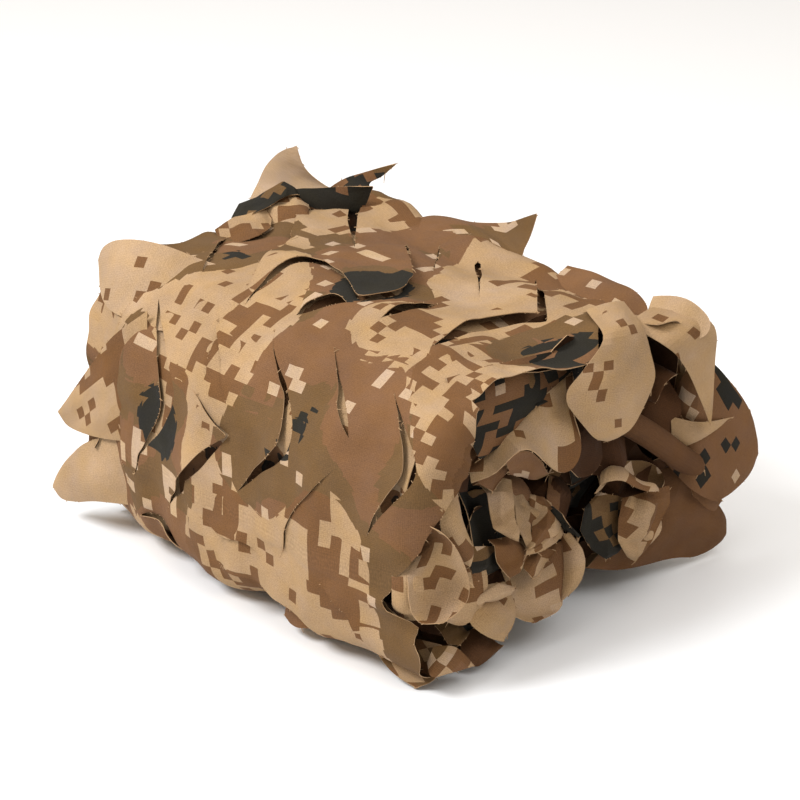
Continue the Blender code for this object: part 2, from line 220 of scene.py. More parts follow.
def creased(points, size, seed):
    # flat three-cornered facets of random height, as in crumpled cloth
    rng = np.random.default_rng(seed)
    table = rng.uniform(-1, 1, (32, 32))
    angle = rng.uniform(0, math.pi)
    turned = np.stack((points[:, 0] * math.cos(angle) - points[:, 1] * math.sin(angle),
                       points[:, 0] * math.sin(angle) + points[:, 1] * math.cos(angle)), axis=1) / size
    turned += np.stack((waves(turned, 3.0, seed + 5), waves(turned, 3.0, seed + 6)), axis=1) * 0.12
    turned += turned.sum(axis=1, keepdims=True) * 0.366
    cell = np.floor(turned).astype(int)
    u, v = (turned - cell).T
    corner = table[cell[:, 0] % 32, cell[:, 1] % 32]
    opposite = table[(cell[:, 0] + 1) % 32, (cell[:, 1] + 1) % 32]
    first = table[(cell[:, 0] + 1) % 32, cell[:, 1] % 32]
    second = table[cell[:, 0] % 32, (cell[:, 1] + 1) % 32]
    below = corner * (1 - u) + first * (u - v) + opposite * v
    above = corner * (1 - v) + second * (v - u) + opposite * u
    return np.where(u > v, below, above)


def through(points, step):
    # a smooth line through the points; a point given twice makes a sharp corner
    points = np.asarray(points, float)
    padded = np.vstack((2 * points[0] - points[1], points, 2 * points[-1] - points[-2]))
    line = [points[0]]
    for a, b, c, d in zip(padded, padded[1:], padded[2:], padded[3:]):
        count = int(math.ceil(np.linalg.norm((c - b)[:2]) / step))
        for i in range(1, count + 1):
            t = i / count
            value = 2 * b + (c - a) * t + (2 * a - 5 * b + 4 * c - d) * t * t
            line.append(0.5 * (value + (3 * b - a - 3 * c + d) * t ** 3))
    return np.array(line)


def inside(points, polygon):
    x, y = points[:, 0], points[:, 1]
    result = np.zeros(len(points), bool)
    previous = polygon[-1]
    for current in polygon:
        if current[1] != previous[1]:
            crosses = (current[1] > y) != (previous[1] > y)
            slope = (previous[0] - current[0]) / (previous[1] - current[1])
            result ^= crosses & (x < slope * (y - current[1]) + current[0])
        previous = current
    return result


def gridFaces(rows, columns):
    faces = []
    for i in range(rows - 1):
        for j in range(columns - 1):
            a = i * columns + j
            faces.append([a, a + 1, a + columns + 1, a + columns])
    return faces


# materials
class Wire:
    def __init__(self, nodes, socket):
        self.nodes = nodes
        self.socket = socket

    def math(self, operation, first, second=0.0):
        return self.nodes.make("ShaderNodeMath", {"operation": operation}, {0: first, 1: second})

    def __add__(self, other):
        return self.math("ADD", self, other)

    def __radd__(self, other):
        return self.math("ADD", other, self)

    def __sub__(self, other):
        return self.math("SUBTRACT", self, other)

    def __rsub__(self, other):
        return self.math("SUBTRACT", other, self)

    def __mul__(self, other):
        return self.math("MULTIPLY", self, other)

    def __rmul__(self, other):
        return self.math("MULTIPLY", other, self)

    def above(self, limit):
        return self.math("GREATER_THAN", self, limit)

    def least(self, other):
        return self.math("MINIMUM", self, other)

    def most(self, other):
        return self.math("MAXIMUM", self, other)


class Nodes:
    def __init__(self, material):
        material.use_nodes = True
        self.tree = material.node_tree
        self.shader = self.tree.nodes["Principled BSDF"]

    def make(self, kind, settings=None, inputs=None, output=0):
        made = self.tree.nodes.new(kind)
        for key, value in (settings or {}).items():
            setattr(made, key, value)
        for key, value in (inputs or {}).items():
            self.plug(value, made.inputs[key])
        return Wire(self, made.outputs[output])

    def plug(self, value, socket):
        if isinstance(value, Wire):
            self.tree.links.new(value.socket, socket)
        else:
            socket.default_value = value

    def vector(self, operation, first, second=(0, 0, 0)):
        return self.make("ShaderNodeVectorMath", {"operation": operation}, {0: first, 1: second})

    def noise(self, vector, scale, detail=2.0, roughness=0.5):
        return self.make("ShaderNodeTexNoise", {"noise_dimensions": "3D"},
                         {"Vector": vector, "Scale": scale, "Detail": detail, "Roughness": roughness})

    def white(self, vector):
        return self.make("ShaderNodeTexWhiteNoise", {"noise_dimensions": "3D"}, {"Vector": vector})

    def mix(self, factor, first, second):
        return self.make("ShaderNodeMix", {"data_type": "RGBA"}, {0: factor, 6: first, 7: second}, 2)


def linear(red, green, blue):
    def one(value):
        value /= 255
        return value / 12.92 if value <= 0.04045 else ((value + 0.055) / 1.055) ** 2.4
    return one(red), one(green), one(blue), 1.0


palette = {
    "tan": linear(208, 172, 130),
    "pale": linear(222, 190, 156),
    "brown": linear(140, 100, 65),
    "olive": linear(132, 101, 66),
    "pinkish": linear(147, 107, 74),
    "charcoal": linear(54, 51, 44),
    # plain dark red-brown: the own colour of some leaves, and also the painted shade of the pieces deep in
    # the ends
    "darkBrownAndShade": linear(90, 57, 33),
    # edge and fibre colour the cut edges and loose threads; they are paler than the print, partly the bare
    # fibre of a cut and partly a painted highlight
    "edge": linear(176, 146, 110),
    "fibre": linear(146, 114, 80),
}
cellSize = 0.0082   # one printed square, in metres

# noise over the squares: where it starts, scale and detail
Field = namedtuple("Field", "offset scale detail")
fields = {
    "blobs": Field((0.5, 0.5, 40.3), 0.15, 2.0),
    "grounds": Field((70.5, 0.5, 12.7), 0.07, 1.5),
    "darks": Field((9.5, 90.5, 77.1), 0.17, 1.0),
    "fine": Field((33.5, 20.5, 9.1), 0.40, 1.0),
}
# the level above which each part of the print starts
starts = {
    "brownPatch": 0.655,
    "brownSquare": 0.86,
    "squareGround": 0.50,
    "hole": 0.84,
    "fullBrown": 0.82,
    "olive": 0.5,
    "lightPatch": 0.70,
    "lightSpot": 0.90,
    "charcoal": 0.17,
    "charcoalTone": 0.55,
    "brownGround": 0.27,
    # from this tone the print turns to plain dark brown, partly real colour and partly painted shade
    "darkBrownAndShade": 0.84,
}
commonPatches = 0.46   # how dense the patches are where a piece says nothing else
weave = {"Scale": 0.26, "Distortion": 1.2, "Detail": 1.0}


def printedCloth(name, shade):
    # small squares in stepped patches. tone picks the ground: about 0 is tan with brown patches, 0.45 is
    # brown with light squares, 0.65 adds charcoal patches and 1 is plain dark brown, which also serves as
    # painted shade on the pieces deep in the ends; patches sets how many there are
    material = bpy.data.materials.new(name)
    nodes = Nodes(material)
    uv = nodes.make("ShaderNodeUVMap", {"uv_map": "print"})
    tone = nodes.make("ShaderNodeAttribute", {"attribute_name": "tone"}, output=2)
    patches = nodes.make("ShaderNodeAttribute", {"attribute_name": "patches"}, output=2)
    scaled = nodes.vector("DIVIDE", uv, (cellSize, cellSize, 1.0))
    cells = nodes.vector("FLOOR", scaled)
    longCells = nodes.vector("FLOOR", nodes.vector("DIVIDE", scaled, (2.0, 1.0, 1.0)))
    tallCells = nodes.vector("FLOOR", nodes.vector("DIVIDE", scaled, (1.0, 2.0, 1.0)))

    def field(name):
        row = fields[name]
        return nodes.noise(nodes.vector("ADD", cells, row.offset), row.scale, row.detail, 0.55)

    single = nodes.white(nodes.vector("ADD", cells, (0.5, 0.5, 3.5)))
    long = nodes.white(nodes.vector("ADD", longCells, (0.5, 0.5, 11.5)))
    tall = nodes.white(nodes.vector("ADD", tallCells, (0.5, 0.5, 23.5)))
    jitter = (single + long + tall) * 0.333 - 0.5
    blobs, grounds, darks, fine = (field(key) for key in ("blobs", "grounds", "darks", "fine"))
    brownLevel = blobs + (fine - 0.5) * 0.35 + jitter * 0.32 + patches * 0.22
    brownPatch = brownLevel.above(starts["brownPatch"])
    squares = single * 0.5 + tall * 0.5
    brownSquare = squares.above(starts["brownSquare"]) * brownLevel.above(starts["squareGround"])
    hole = (single * 0.6 + long * 0.4).above(starts["hole"]) * (1.0 - brownLevel.above(starts["fullBrown"]))
    plain = (patches * -1.0).least(1.0).most(0.0)
    faded = (nodes.noise(nodes.vector("ADD", uv, (3.0, 7.0, 0.0)), 13.0, 2.0, 0.5) - 0.5) * 2.4
    tanGround = nodes.mix(plain.most(faded.least(0.6)), palette["tan"], palette["pale"])
    tanPrint = nodes.mix(brownPatch.most(brownSquare), tanGround, palette["brown"])
    tanPrint = nodes.mix(hole * brownPatch, tanPrint, palette["tan"])
    oliveLevel = grounds + jitter * 0.06 + (patches - commonPatches) * 0.5
    brownGround = nodes.mix(oliveLevel.above(starts["olive"]), palette["pinkish"], palette["olive"])
    lightLevel = darks + (fine - 0.5) * 0.4 + jitter * 0.42 - plain * 0.4
    lightPatch = lightLevel.above(starts["lightPatch"])
    lightSpot = (squares - plain * 0.4).above(starts["lightSpot"])
    brownPrint = nodes.mix(lightPatch.most(lightSpot), brownGround, palette["pale"])
    charcoal = tone * 1.8 - 0.64 - darks + (fine - 0.5) * 0.3 + jitter * 0.34 - plain
    charcoalPatch = charcoal.above(starts["charcoal"]) * tone.above(starts["charcoalTone"])
    brownPrint = nodes.mix(charcoalPatch, brownPrint, palette["charcoal"])
    onBrown = (tone + (grounds - 0.5) * 0.4 + jitter * 0.10).above(starts["brownGround"])
    colour = nodes.mix(onBrown, tanPrint, brownPrint)
    # the highest tones turn to plain dark brown; on the pieces deep in the ends this is painted shade
    darkBrownAndShadeShare = ((tone - starts["darkBrownAndShade"]) * 6.0).least(0.86).most(0.0)
    colour = nodes.mix(darkBrownAndShadeShare, colour, palette["darkBrownAndShade"])
    metric = nodes.vector("MULTIPLY", uv, (1000.0, 1000.0, 0.0))
    cloud = nodes.noise(metric, 0.022, 3.0, 0.62)
    stain = nodes.noise(nodes.vector("ADD", metric, (500.0, 900.0, 0.0)), 0.05, 2.0, 0.6)
    grain = nodes.noise(metric, 0.95, 2.0, 0.65)
    weaveU, weaveV = (nodes.make("ShaderNodeTexWave", {"bands_direction": way}, {"Vector": metric, **weave})
                      for way in "XY")
    shadeValue = (cloud - 0.5) * 0.30 + (grain - 0.5) * 0.45 + (weaveU * weaveV - 0.3) * 0.10 + shade
    warmth = (stain - 0.5) * 0.27
    washed = nodes.vector("MULTIPLY", colour, nodes.make(
        "ShaderNodeCombineXYZ", {},
        {0: shadeValue + warmth * 0.25, 1: shadeValue, 2: shadeValue - warmth}))
    nodes.plug(washed, nodes.shader.inputs["Base Color"])
    nodes.plug((grain - 0.5) * 0.2 + 0.80, nodes.shader.inputs["Roughness"])
    nodes.shader.inputs["Specular IOR Level"].default_value = 0.1
    nodes.shader.inputs["Sheen Weight"].default_value = 0.02
    nodes.shader.inputs["Sheen Roughness"].default_value = 0.4
    crumple = nodes.noise(metric, 0.085, 4.0, 0.6)
    height = weaveU * weaveV * 0.16 + crumple * 1.5 + grain * 0.14
    bump = nodes.make("ShaderNodeBump", {}, {"Strength": 0.55, "Distance": 0.0012, "Height": height})
    nodes.plug(bump, nodes.shader.inputs["Normal"])
    return material


# the cut-edge material is paler than the printed faces: partly the bare fibre of a cut, partly a painted
# highlight along the edges
def edgeClothWithHighlight():
    material = bpy.data.materials.new("cut edge")
    nodes = Nodes(material)
    place = nodes.make("ShaderNodeTexCoord", output=3)
    colour = nodes.mix(nodes.noise(place, 420.0), palette["edge"], palette["fibre"])
    nodes.plug(colour, nodes.shader.inputs["Base Color"])
    nodes.shader.inputs["Roughness"].default_value = 0.9
    return material


def floorMaterial():
    material = bpy.data.materials.new("pale floor")
    nodes = Nodes(material)
    nodes.shader.inputs["Base Color"].default_value = (0.90, 0.92, 0.95, 1.0)
    nodes.shader.inputs["Roughness"].default_value = 0.55
    return material


print("materials")
clothSlots = [printedCloth("cloth face", 0.53), printedCloth("cloth reverse", 0.44), edgeClothWithHighlight()]


# making a piece of cloth
# loose threads: lengths in millimetres, ways as shares of the way out from the cut edge
thread = {
    "floor": 0.6,
    "slant": 1.1,
    "down": -0.25,
    "up": 0.45,
    "shortest": 0.5,
    "common": 0.75,
    "longest": 4.5,
    "swing": 0.5,
    "sag": 0.25,
    "halfWidth": 0.12,
    "rooted": 0.3,
    "bendAt": 0.55,
    "bendSag": 0.3,
}
tiny = 1e-6


def threads(points, faces, share, seed):
    # short loose threads along the cut edges: their corners, faces and the cloth corner each grows from
    borders = {}
    for index, face in enumerate(faces):
        for a, b in zip(face, [*face[1:], face[0]]):
            key = (min(a, b), max(a, b))
            borders[key] = None if key in borders else (index, a, b)
    rng = np.random.default_rng(seed)
    corners, strips, roots = [], [], []
    for row in borders.values():
        if row is None or rng.random() > share:
            continue
        index, a, b = row
        edge = points[b] - points[a]
        root = points[a] + edge * rng.random()
        edge = edge / max(np.linalg.norm(edge), tiny)
        outward = root - points[list(faces[index])].mean(axis=0)
        outward -= edge * (outward @ edge)
        outward /= max(np.linalg.norm(outward), tiny)
        across = np.cross(edge, outward)
        heading = outward + edge * rng.uniform(-thread["slant"], thread["slant"])
        heading = heading + across * rng.uniform(thread["down"], thread["up"])
        length = thread["shortest"] + min(rng.exponential(thread["common"]), thread["longest"])
        droop = edge * rng.uniform(-thread["swing"], thread["swing"]) * length
        droop = droop + np.array((0, 0, -thread["sag"] * length))
        half = (edge - outward * (edge @ heading)) * thread["halfWidth"]
        root = root - outward * thread["rooted"]
        middle = root + heading * length * thread["bendAt"] + droop * thread["bendSag"]
        tip = root + heading * length + droop
        first = len(corners)
        corners += [root - half, root + half, middle - half, middle + half, tip]
        strips += [[first, first + 1, first + 3, first + 2], [first + 2, first + 3, first + 4]]
        roots += [a] * 5
    return np.array(corners), strips, roots


def clothPiece(name, points, faces, prints, tones, patches=0.3, offset=0.0, rim=2, crease=50, fray=0.0):
    tones = np.broadcast_to(np.asarray(tones, float), len(points))
    patches = np.broadcast_to(np.asarray(patches, float), len(points))
    woven = len(faces)
    if fray:
        corners, strips, roots = threads(points, faces, fray, woven)
        aboveFloor(corners, thread["floor"])
        faces = list(faces) + [[i + len(points) for i in strip] for strip in strips]
        points, prints = np.vstack((points, corners)), np.vstack((prints, np.asarray(prints)[roots]))
        tones, patches = np.concatenate((tones, tones[roots])), np.concatenate((patches, patches[roots]))
    mesh = bpy.data.meshes.new(name)
    mesh.from_pydata(((np.asarray(points) - centring) * mm).tolist(), [], [list(f) for f in faces])
    mesh.update()
    layer = mesh.uv_layers.new(name="print")
    loops = np.empty(len(mesh.loops), dtype=np.int32)
    mesh.loops.foreach_get("vertex_index", loops)
    layer.data.foreach_set("uv", (np.asarray(prints)[loops] * mm).ravel())
    for key, values in (("tone", tones), ("patches", patches)):
        attribute = mesh.attributes.new(key, "FLOAT", "POINT")
        attribute.data.foreach_set("value", values.copy())
    mesh.polygons.foreach_set("material_index", [0] * woven + [2] * (len(faces) - woven))
    piece = bpy.data.objects.new(name, mesh)
    bpy.context.scene.collection.objects.link(piece)
    for material in clothSlots:
        mesh.materials.append(material)
    bpy.context.view_layer.objects.active = piece
    bpy.ops.object.select_all(action="DESELECT")
    piece.select_set(True)
    solid = piece.modifiers.new("solid", "SOLIDIFY")
    solid.thickness = clothThickness * mm
    solid.offset = offset
    solid.material_offset = 1
    solid.material_offset_rim = rim
    bpy.ops.object.modifier_apply(modifier=solid.name)
    bpy.ops.object.shade_smooth_by_angle(angle=math.radians(crease))
    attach(piece, "root")
    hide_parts(node)
    return piece


# the outer turn and its S-shaped slits
# points are (x, height or depth, width of the gap); lifts are how high the left and right lips stand in
# the first half and then in the second half, seen travelling along the slit
Slit = namedtuple("Slit", "face points lifts reach over")
slits = (
    # front side
    Slit("angle", ((-110, 131, 0), (-90, 145, 7), (-74, 155, 16), (-65, 163, 18), (-69, 172, 11),
                   (-84, 178, 4), (-100, 182, 0)), (2.6, 1.2, 2.2, 0.6), 30, 0),
    Slit("angle", ((-130, 163, 0), (-125, 170, 4), (-119, 177, 5), (-108, 184, 0)),
         (2.5, 0.5, 3, 0.5), 24, 1),
    Slit("angle", ((-52, 126, 0), (-28, 137, 0), (-17, 143, 0), (-3, 153, 0), (4, 158, 0)),
         (2.6, 0, 1.6, 0), 26, 2),
    Slit("angle", ((-38, 156, 0), (-24, 158, 0), (-13, 161, 0), (6, 165, 0), (6, 165, 0), (-9, 171, 5),
                   (-22, 176, 7), (-43, 180, 5), (-60, 184, 0)), (0.3, 3, 0, 4.6), 34, 2),
    Slit("angle", ((4, 124, 0), (24, 135, 1), (34, 141, 4), (42, 145, 4), (52, 150, 7), (60, 156, 9),
                   (60, 162, 8), (50, 167, 7), (32, 172, 5), (14, 178, 0)), (1, 1.5, 0.3, 4.2), 34, 1),
    Slit("angle", ((56, 120, 0), (80, 131, 0.8), (97, 140, 4.5), (107, 146, 4), (113, 151, 0)),
         (0.5, 2.2, 0.5, 2.4), 28, 0),
    Slit("angle", ((108, 162, 0), (92, 170, 0), (72, 177, 0), (56, 182, 0)), (0, 1.5, 0, 1.5), 22, 1),
    Slit("angle", ((122, 126, 0), (140, 135, 1), (152, 143, 4), (163, 152, 8), (165, 158, 8), (158, 165, 6),
                   (147, 171, 3), (134, 177, 0)), (0.6, 2.6, 0.4, 3.2), 30, 0),
    Slit("front", ((-6, 34, 0), (12, 30, 5), (34, 27, 8), (56, 26, 5), (74, 24, 0)), (4, 0, 3, 0), 26, 0),
    Slit("front", ((-128, 176, 0), (-132, 158, 1.5), (-131, 144, 0)), (1.5, 0, 1.5, 0), 20, 1),
    Slit("front", ((-98, 34, 0), (-84, 40, 2), (-66, 38, 2), (-50, 26, 0)), (0, 3, 0, 3), 22, 0),
    Slit("front", ((98, 60, 0), (112, 50, 2.5), (124, 38, 2), (134, 24, 0)), (3, 0.5, 3, 0), 26, 2),
    Slit("front", ((-20, 66, 0), (4, 58, 1.4), (22, 60, 1), (40, 50, 0)), (2.4, 0, 3, 0.5), 24, 1),
    # roof
    Slit("roof", ((-139, 50, 0), (-112, 24, 2), (-92, 4, 0), (-80, -17, 2), (-68, -42, 2.5), (-52, -70, 0)),
         (4, 0, 5, 0), 36, 4),
    Slit("roof", ((-36, -88, 0), (-43, -68, 2), (-47, -44, 5), (-44, -26, 3), (-34, -19, 1), (-13, -22, 0),
                  (10, -33, 0), (31, -44, 0), (37, -30, 0), (36, -14, 0), (28, -1, 0), (4, 23, 0),
                  (-26, 51, 3), (-40, 64, 0)), (3.4, 0, 5.5, 0), 36, 5),
    Slit("roof", ((6, -78, 0), (8, -68, 6), (13, -59, 9), (20, -54, 7), (27, -52, 0)), (3.5, 0, 3, 0), 20, 0),
    Slit("roof", ((64, -56, 0), (64, -44, 3), (64, -30, 4), (62, -16, 2), (59, 0, 0)), (3.5, 0, 3, 0), 28, 1),
    Slit("roof", ((115, -61, 0), (112, -44, 4), (104, -17, 7), (103, 2, 8), (108, 22, 7), (117, 37, 6),
                  (117, 37, 6), (100, 53, 6), (78, 74, 5), (56, 94, 0)), (4.5, 0, 3.5, 0), 34, 2),
    Slit("roof", ((113, 99, 0), (127, 88, 5), (140, 77, 7), (150, 68, 6), (159, 57, 0)),
         (0, 3, 0, 0.5), 16, 1),
    Slit("roof", ((-24, 80, 0), (-10, 66, 1.5), (6, 48, 2), (20, 32, 0)), (2.5, 0, 2.5, 0), 18, 2),
    Slit("roof", ((16, 78, 4), (34, 62, 3.5), (52, 44, 1.4), (68, 28, 0)), (3, 1, 2.5, 0), 26, 1),
    Slit("roof", ((-118, 84, 9), (-94, 62, 7), (-68, 40, 3), (-44, 19, 0)), (3, 0, 3, 0), 28, 1),
    Slit("roof", ((-144, -10, 0), (-128, -34, 2), (-112, -54, 2), (-98, -72, 0)), (1, 4, 1, 3.5), 30, 3),
    Slit("roof", ((-14, -132, 0), (-32, -114, 0), (-39, -98, 0), (-36, -84, 0)), (0, 2, 0, 3), 24, 1),
    Slit("roof", ((74, 96, 0), (96, 84, 2.5), (118, 84, 2), (138, 96, 0)), (1, 4, 1, 4), 28, 1),
    Slit("roof", ((-52, 112, 0), (-34, 96, 3), (-10, 92, 3), (6, 102, 0)), (1, 5, 0, 4), 26, 1),
    # rear side
    Slit("angle", ((-104, 44, 0), (-112, 30, 3), (-126, 12, 5), (-120, -8, 3), (-112, -20, 0)),
         (4, 0, 4, 1), 34, 3),
    Slit("angle", ((-44, 42, 0), (-50, 26, 4), (-66, 10, 4), (-62, -8, 3), (-52, -22, 0)),
         (4, 1, 0, 5), 34, 3),
    Slit("angle", ((16, 46, 0), (8, 30, 4), (-4, 14, 5), (-2, -4, 3), (10, -18, 0)), (5, 0, 4, 1), 34, 3),
    Slit("angle", ((76, 44, 0), (70, 28, 3), (54, 10, 5), (58, -8, 3), (70, -24, 0)), (4, 1, 0, 5), 34, 3),
    Slit("angle", ((132, 44, 0), (124, 30, 4), (112, 14, 4), (114, -4, 3), (124, -18, 0)),
         (5, 0, 4, 1), 32, 3),
)

# near and far ends of the outer turn; the near end is longer than the CAD edge where it wraps inwards
Edge = namedtuple("Edge", "face value near far")
edges = (
    Edge("angle", -84, 120, -160),
    Edge("angle", -35, 130, -164),
    Edge("angle", 0, 150, -168),
    Edge("angle", 40, 164, -160),
    Edge("angle", 62, 168, -166),
    Edge("roof", 104, 158, -163),
    Edge("roof", 86, 146, -162),
    Edge("roof", 62, 146, -160),
    Edge("roof", 44, 160, -159),
    Edge("roof", 30, 174, -158),
    Edge("roof", -30, 176, -162),
    Edge("roof", -86, 178, -166),
    Edge("front", 196, 190, -170),
    Edge("front", 180, 202, -174),
    Edge("front", 160, 206, -174),
    Edge("front", 142, 198, -174),
    Edge("front", 128, 190, -173),
    Edge("front", 116, 184, -172),
    Edge("front", 103, 175, -174),
    Edge("front", 91, 164, -176),
    Edge("front", 79, 154, -176),
    Edge("front", 69, 151, -174),
    Edge("front", 61, 155, -172),
    Edge("front", 56, 168, -172),
    Edge("front", 51, 180, -172),
    Edge("front", 40, 184, -170),
    Edge("front", 28, 180, -168),
    Edge("front", 16, 172, -168),
    Edge("front", 6, 166, -166),
    Edge("angle", 244, 160, -164),
)
edgeRows = np.array([(angleAt(toGirth(row.face, 150, row.value)), row.near, row.far) for row in edges])
# the near end wraps inwards between these angles, and comes back to the skin over the same fade
wrap = {"start": 156.0, "radius": 24.0, "low": 112, "high": 196, "fade": 14}

# the outer turn as a cut panel, in millimetres and degrees
panel = {
    "startAngle": -80,
    "endAngle": 234,
    "borderStep": 3.0,
    "footSeed": 61,
    "startSeed": 65,
    "spacing": 3.7,
    "rowShare": 0.9,
    "jitter": 0.7,
    "clearShare": 0.52,
    "thinGap": 0.5,
    "nudge": 0.12,
    "columnShift": 7.0,
}
endRipples = (Ripple(70, 30, 2.2), Ripple(24, 40, 0.8))
footRipples = (Ripple(120, 0, 4.0), Ripple(40, 1, 1.5))

# how the two lips of a slit lift, sink and slide
lips = {
    "halfShare": 0.6,
    "swell": 1.4,
    "fade": 1.5,
    "sink": 1.6,
    "sinkFull": 6,
    "sinkReach": 16,
    "slideFull": 8,
}
flutter = {"reach": 34, "least": 0.6, "ripple": Ripple(44, 7, 2.2)}
outerTone = {"brown": 0.46, "dark": 0.38, "from": 30, "over": 60, "share": 0.8, "most": 0.84}


def slitLines():
    lines = []
    for slit in slits:
        rows = [(x, toGirth(slit.face, x, h), gap) for x, h, gap in slit.points]
        line = through(rows, 3.0)
        line[:, 2] = np.maximum(line[:, 2], 0)
        line[[0, -1], 2] = 0
        tangent = np.gradient(line[:, :2], axis=0)
        tangent /= np.maximum(np.linalg.norm(tangent, axis=1, keepdims=True), 1e-6)
        side = np.stack((tangent[:, 1], -tangent[:, 0]), axis=1)
        lines.append((slit, line, side))
    return lines


def nearestOn(line, points):
    # distance, signed side, share along the line, gap and the way across at the nearest place
    a, b = line[:-1, :2], line[1:, :2]
    step = b - a
    length2 = np.maximum((step ** 2).sum(axis=1), 1e-9)
    best = np.full(len(points), 1e18)
    share, gap = np.zeros(len(points)), np.zeros(len(points))
    sign, across = np.ones(len(points)), np.zeros((len(points), 2))
    total = np.concatenate(([0], np.cumsum(np.sqrt(length2))))
    for i in range(len(a)):
        t = np.clip(((points - a[i]) @ step[i]) / length2[i], 0, 1)
        away = points - a[i] - t[:, None] * step[i]
        distance2 = (away ** 2).sum(axis=1)
        closer = distance2 < best - 1e-9
        best[closer] = distance2[closer]
        share[closer] = ((total[i] + t * math.sqrt(length2[i])) / total[-1])[closer]
        gap[closer] = (line[i, 2] + (line[i + 1, 2] - line[i, 2]) * t)[closer]
        normal = np.array((step[i][1], -step[i][0])) / math.sqrt(length2[i])
        sign[closer] = np.sign(away @ normal)[closer]
        across[closer] = normal
    return np.sqrt(best), sign, share, gap, across


# broad areas of the outer turn's print: waves on the cloth itself say where its ground turns brown, where
# it darkens and where the brown patches are denser, each with a size in millimetres, a seed and a reach
BroadArea = namedtuple("BroadArea", "size seed reach level")
brownGroundArea = BroadArea(150, 41, 0.8, 0.5)
darkGroundArea = BroadArea(110, 47, 0.9, -0.5)
densePatchArea = BroadArea(90, 43, 0.3, commonPatches)
wideRipple, narrowRipple, facetRipple = Ripple(62, 1, 1.1), Ripple(24, 2, 0.4), Ripple(46, 3, 0.9)


def broadArea(plane, area):
    return waves(plane, area.size, area.seed) * area.reach + area.level


def unevenness(plane):
    return ripple(plane, wideRipple) + ripple(plane, narrowRipple) + ripple(plane, facetRipple, kind=facets)


def panelBorder():
    startGirth, endGirth = float(girthAt(panel["startAngle"])), float(girthAt(panel["endAngle"]))
    steps = np.linspace(startGirth, endGirth, int((endGirth - startGirth) / panel["borderStep"]))
    angles = angleAt(steps)

    def edgeAt(column):
        base = np.interp(angles, edgeRows[:, 0], edgeRows[:, column])
        pairs = np.stack((steps, np.full_like(steps, panel["columnShift"] * column)), axis=1)
        return base + ripple(pairs, endRipples[0], column) + ripple(pairs, endRipples[1], column)

    def across(a, b, seed):
        count = int(abs(b[0] - a[0]) / panel["borderStep"])
        t = np.linspace(0, 1, count + 1)[1:-1, None]
        row = a + (b - a) * t
        flat = np.stack((row[:, 0], np.full(len(row), float(seed))), axis=1)
        row[:, 1] += ripple(flat, footRipples[0], seed) + ripple(flat, footRipples[1], seed)
        return row

    near = np.stack((edgeAt(1), steps), axis=1)
    far = np.stack((edgeAt(2), steps), axis=1)
    foot = across(near[-1], far[-1], panel["footSeed"])
    start = across(far[0], near[0], panel["startSeed"])
    return np.vstack((near, foot, far[::-1], start))


def addSlits(lines, coords, edges):
    # adds the slits' points and edges; a thin stretch is a seam to split, a wide one is a hole
    splits, holes = set(), []
    for _, line, side in lines:
        previous = None
        hole = []
        for (x, g, gap), n in zip(line, side):
            if gap < panel["thinGap"]:
                current = (len(coords), len(coords))
                coords.append((x, g))
            else:
                current = (len(coords), len(coords) + 1)
                coords.append((x + n[0] * gap / 2, g + n[1] * gap / 2))
                coords.append((x - n[0] * gap / 2, g - n[1] * gap / 2))
            if previous:
                if previous[0] == previous[1] and current[0] == current[1]:
                    splits.add(len(edges))
                    edges.append((previous[0], current[0]))
                    if hole:
                        holes.append(hole)
                        hole = []
                else:
                    edges.append((previous[0], current[0]))
                    edges.append((previous[1], current[1]))
                    hole.append((coords[previous[0]], coords[previous[1]], coords[current[0]],
                                 coords[current[1]]))
            previous = current
        if hole:
            holes.append(hole)
    return splits, holes


def fillGrid(border, taken):
    # points between the border and the slits, clear of the points already taken
    rng = np.random.default_rng(4)
    spacing = panel["spacing"]
    low, high = border.min(axis=0), border.max(axis=0)
    columns = np.arange(low[0], high[0], spacing)
    rows = np.arange(low[1], high[1], spacing * panel["rowShare"])
    gridX, gridG = np.meshgrid(columns, rows)
    gridX = gridX + (np.arange(len(rows)) % 2)[:, None] * spacing / 2
    grid = np.stack((gridX.ravel(), gridG.ravel()), axis=1)
    grid += rng.uniform(-panel["jitter"], panel["jitter"], grid.shape)
    grid = grid[inside(grid, border)]
    keep = np.ones(len(grid), bool)
    for block in range(0, len(taken), 200):
        part = taken[block:block + 200]
        distance = np.min(((grid[:, None, :] - part[None]) ** 2).sum(axis=2), axis=1)
        keep &= distance > (spacing * panel["clearShare"]) ** 2
    return grid[keep]


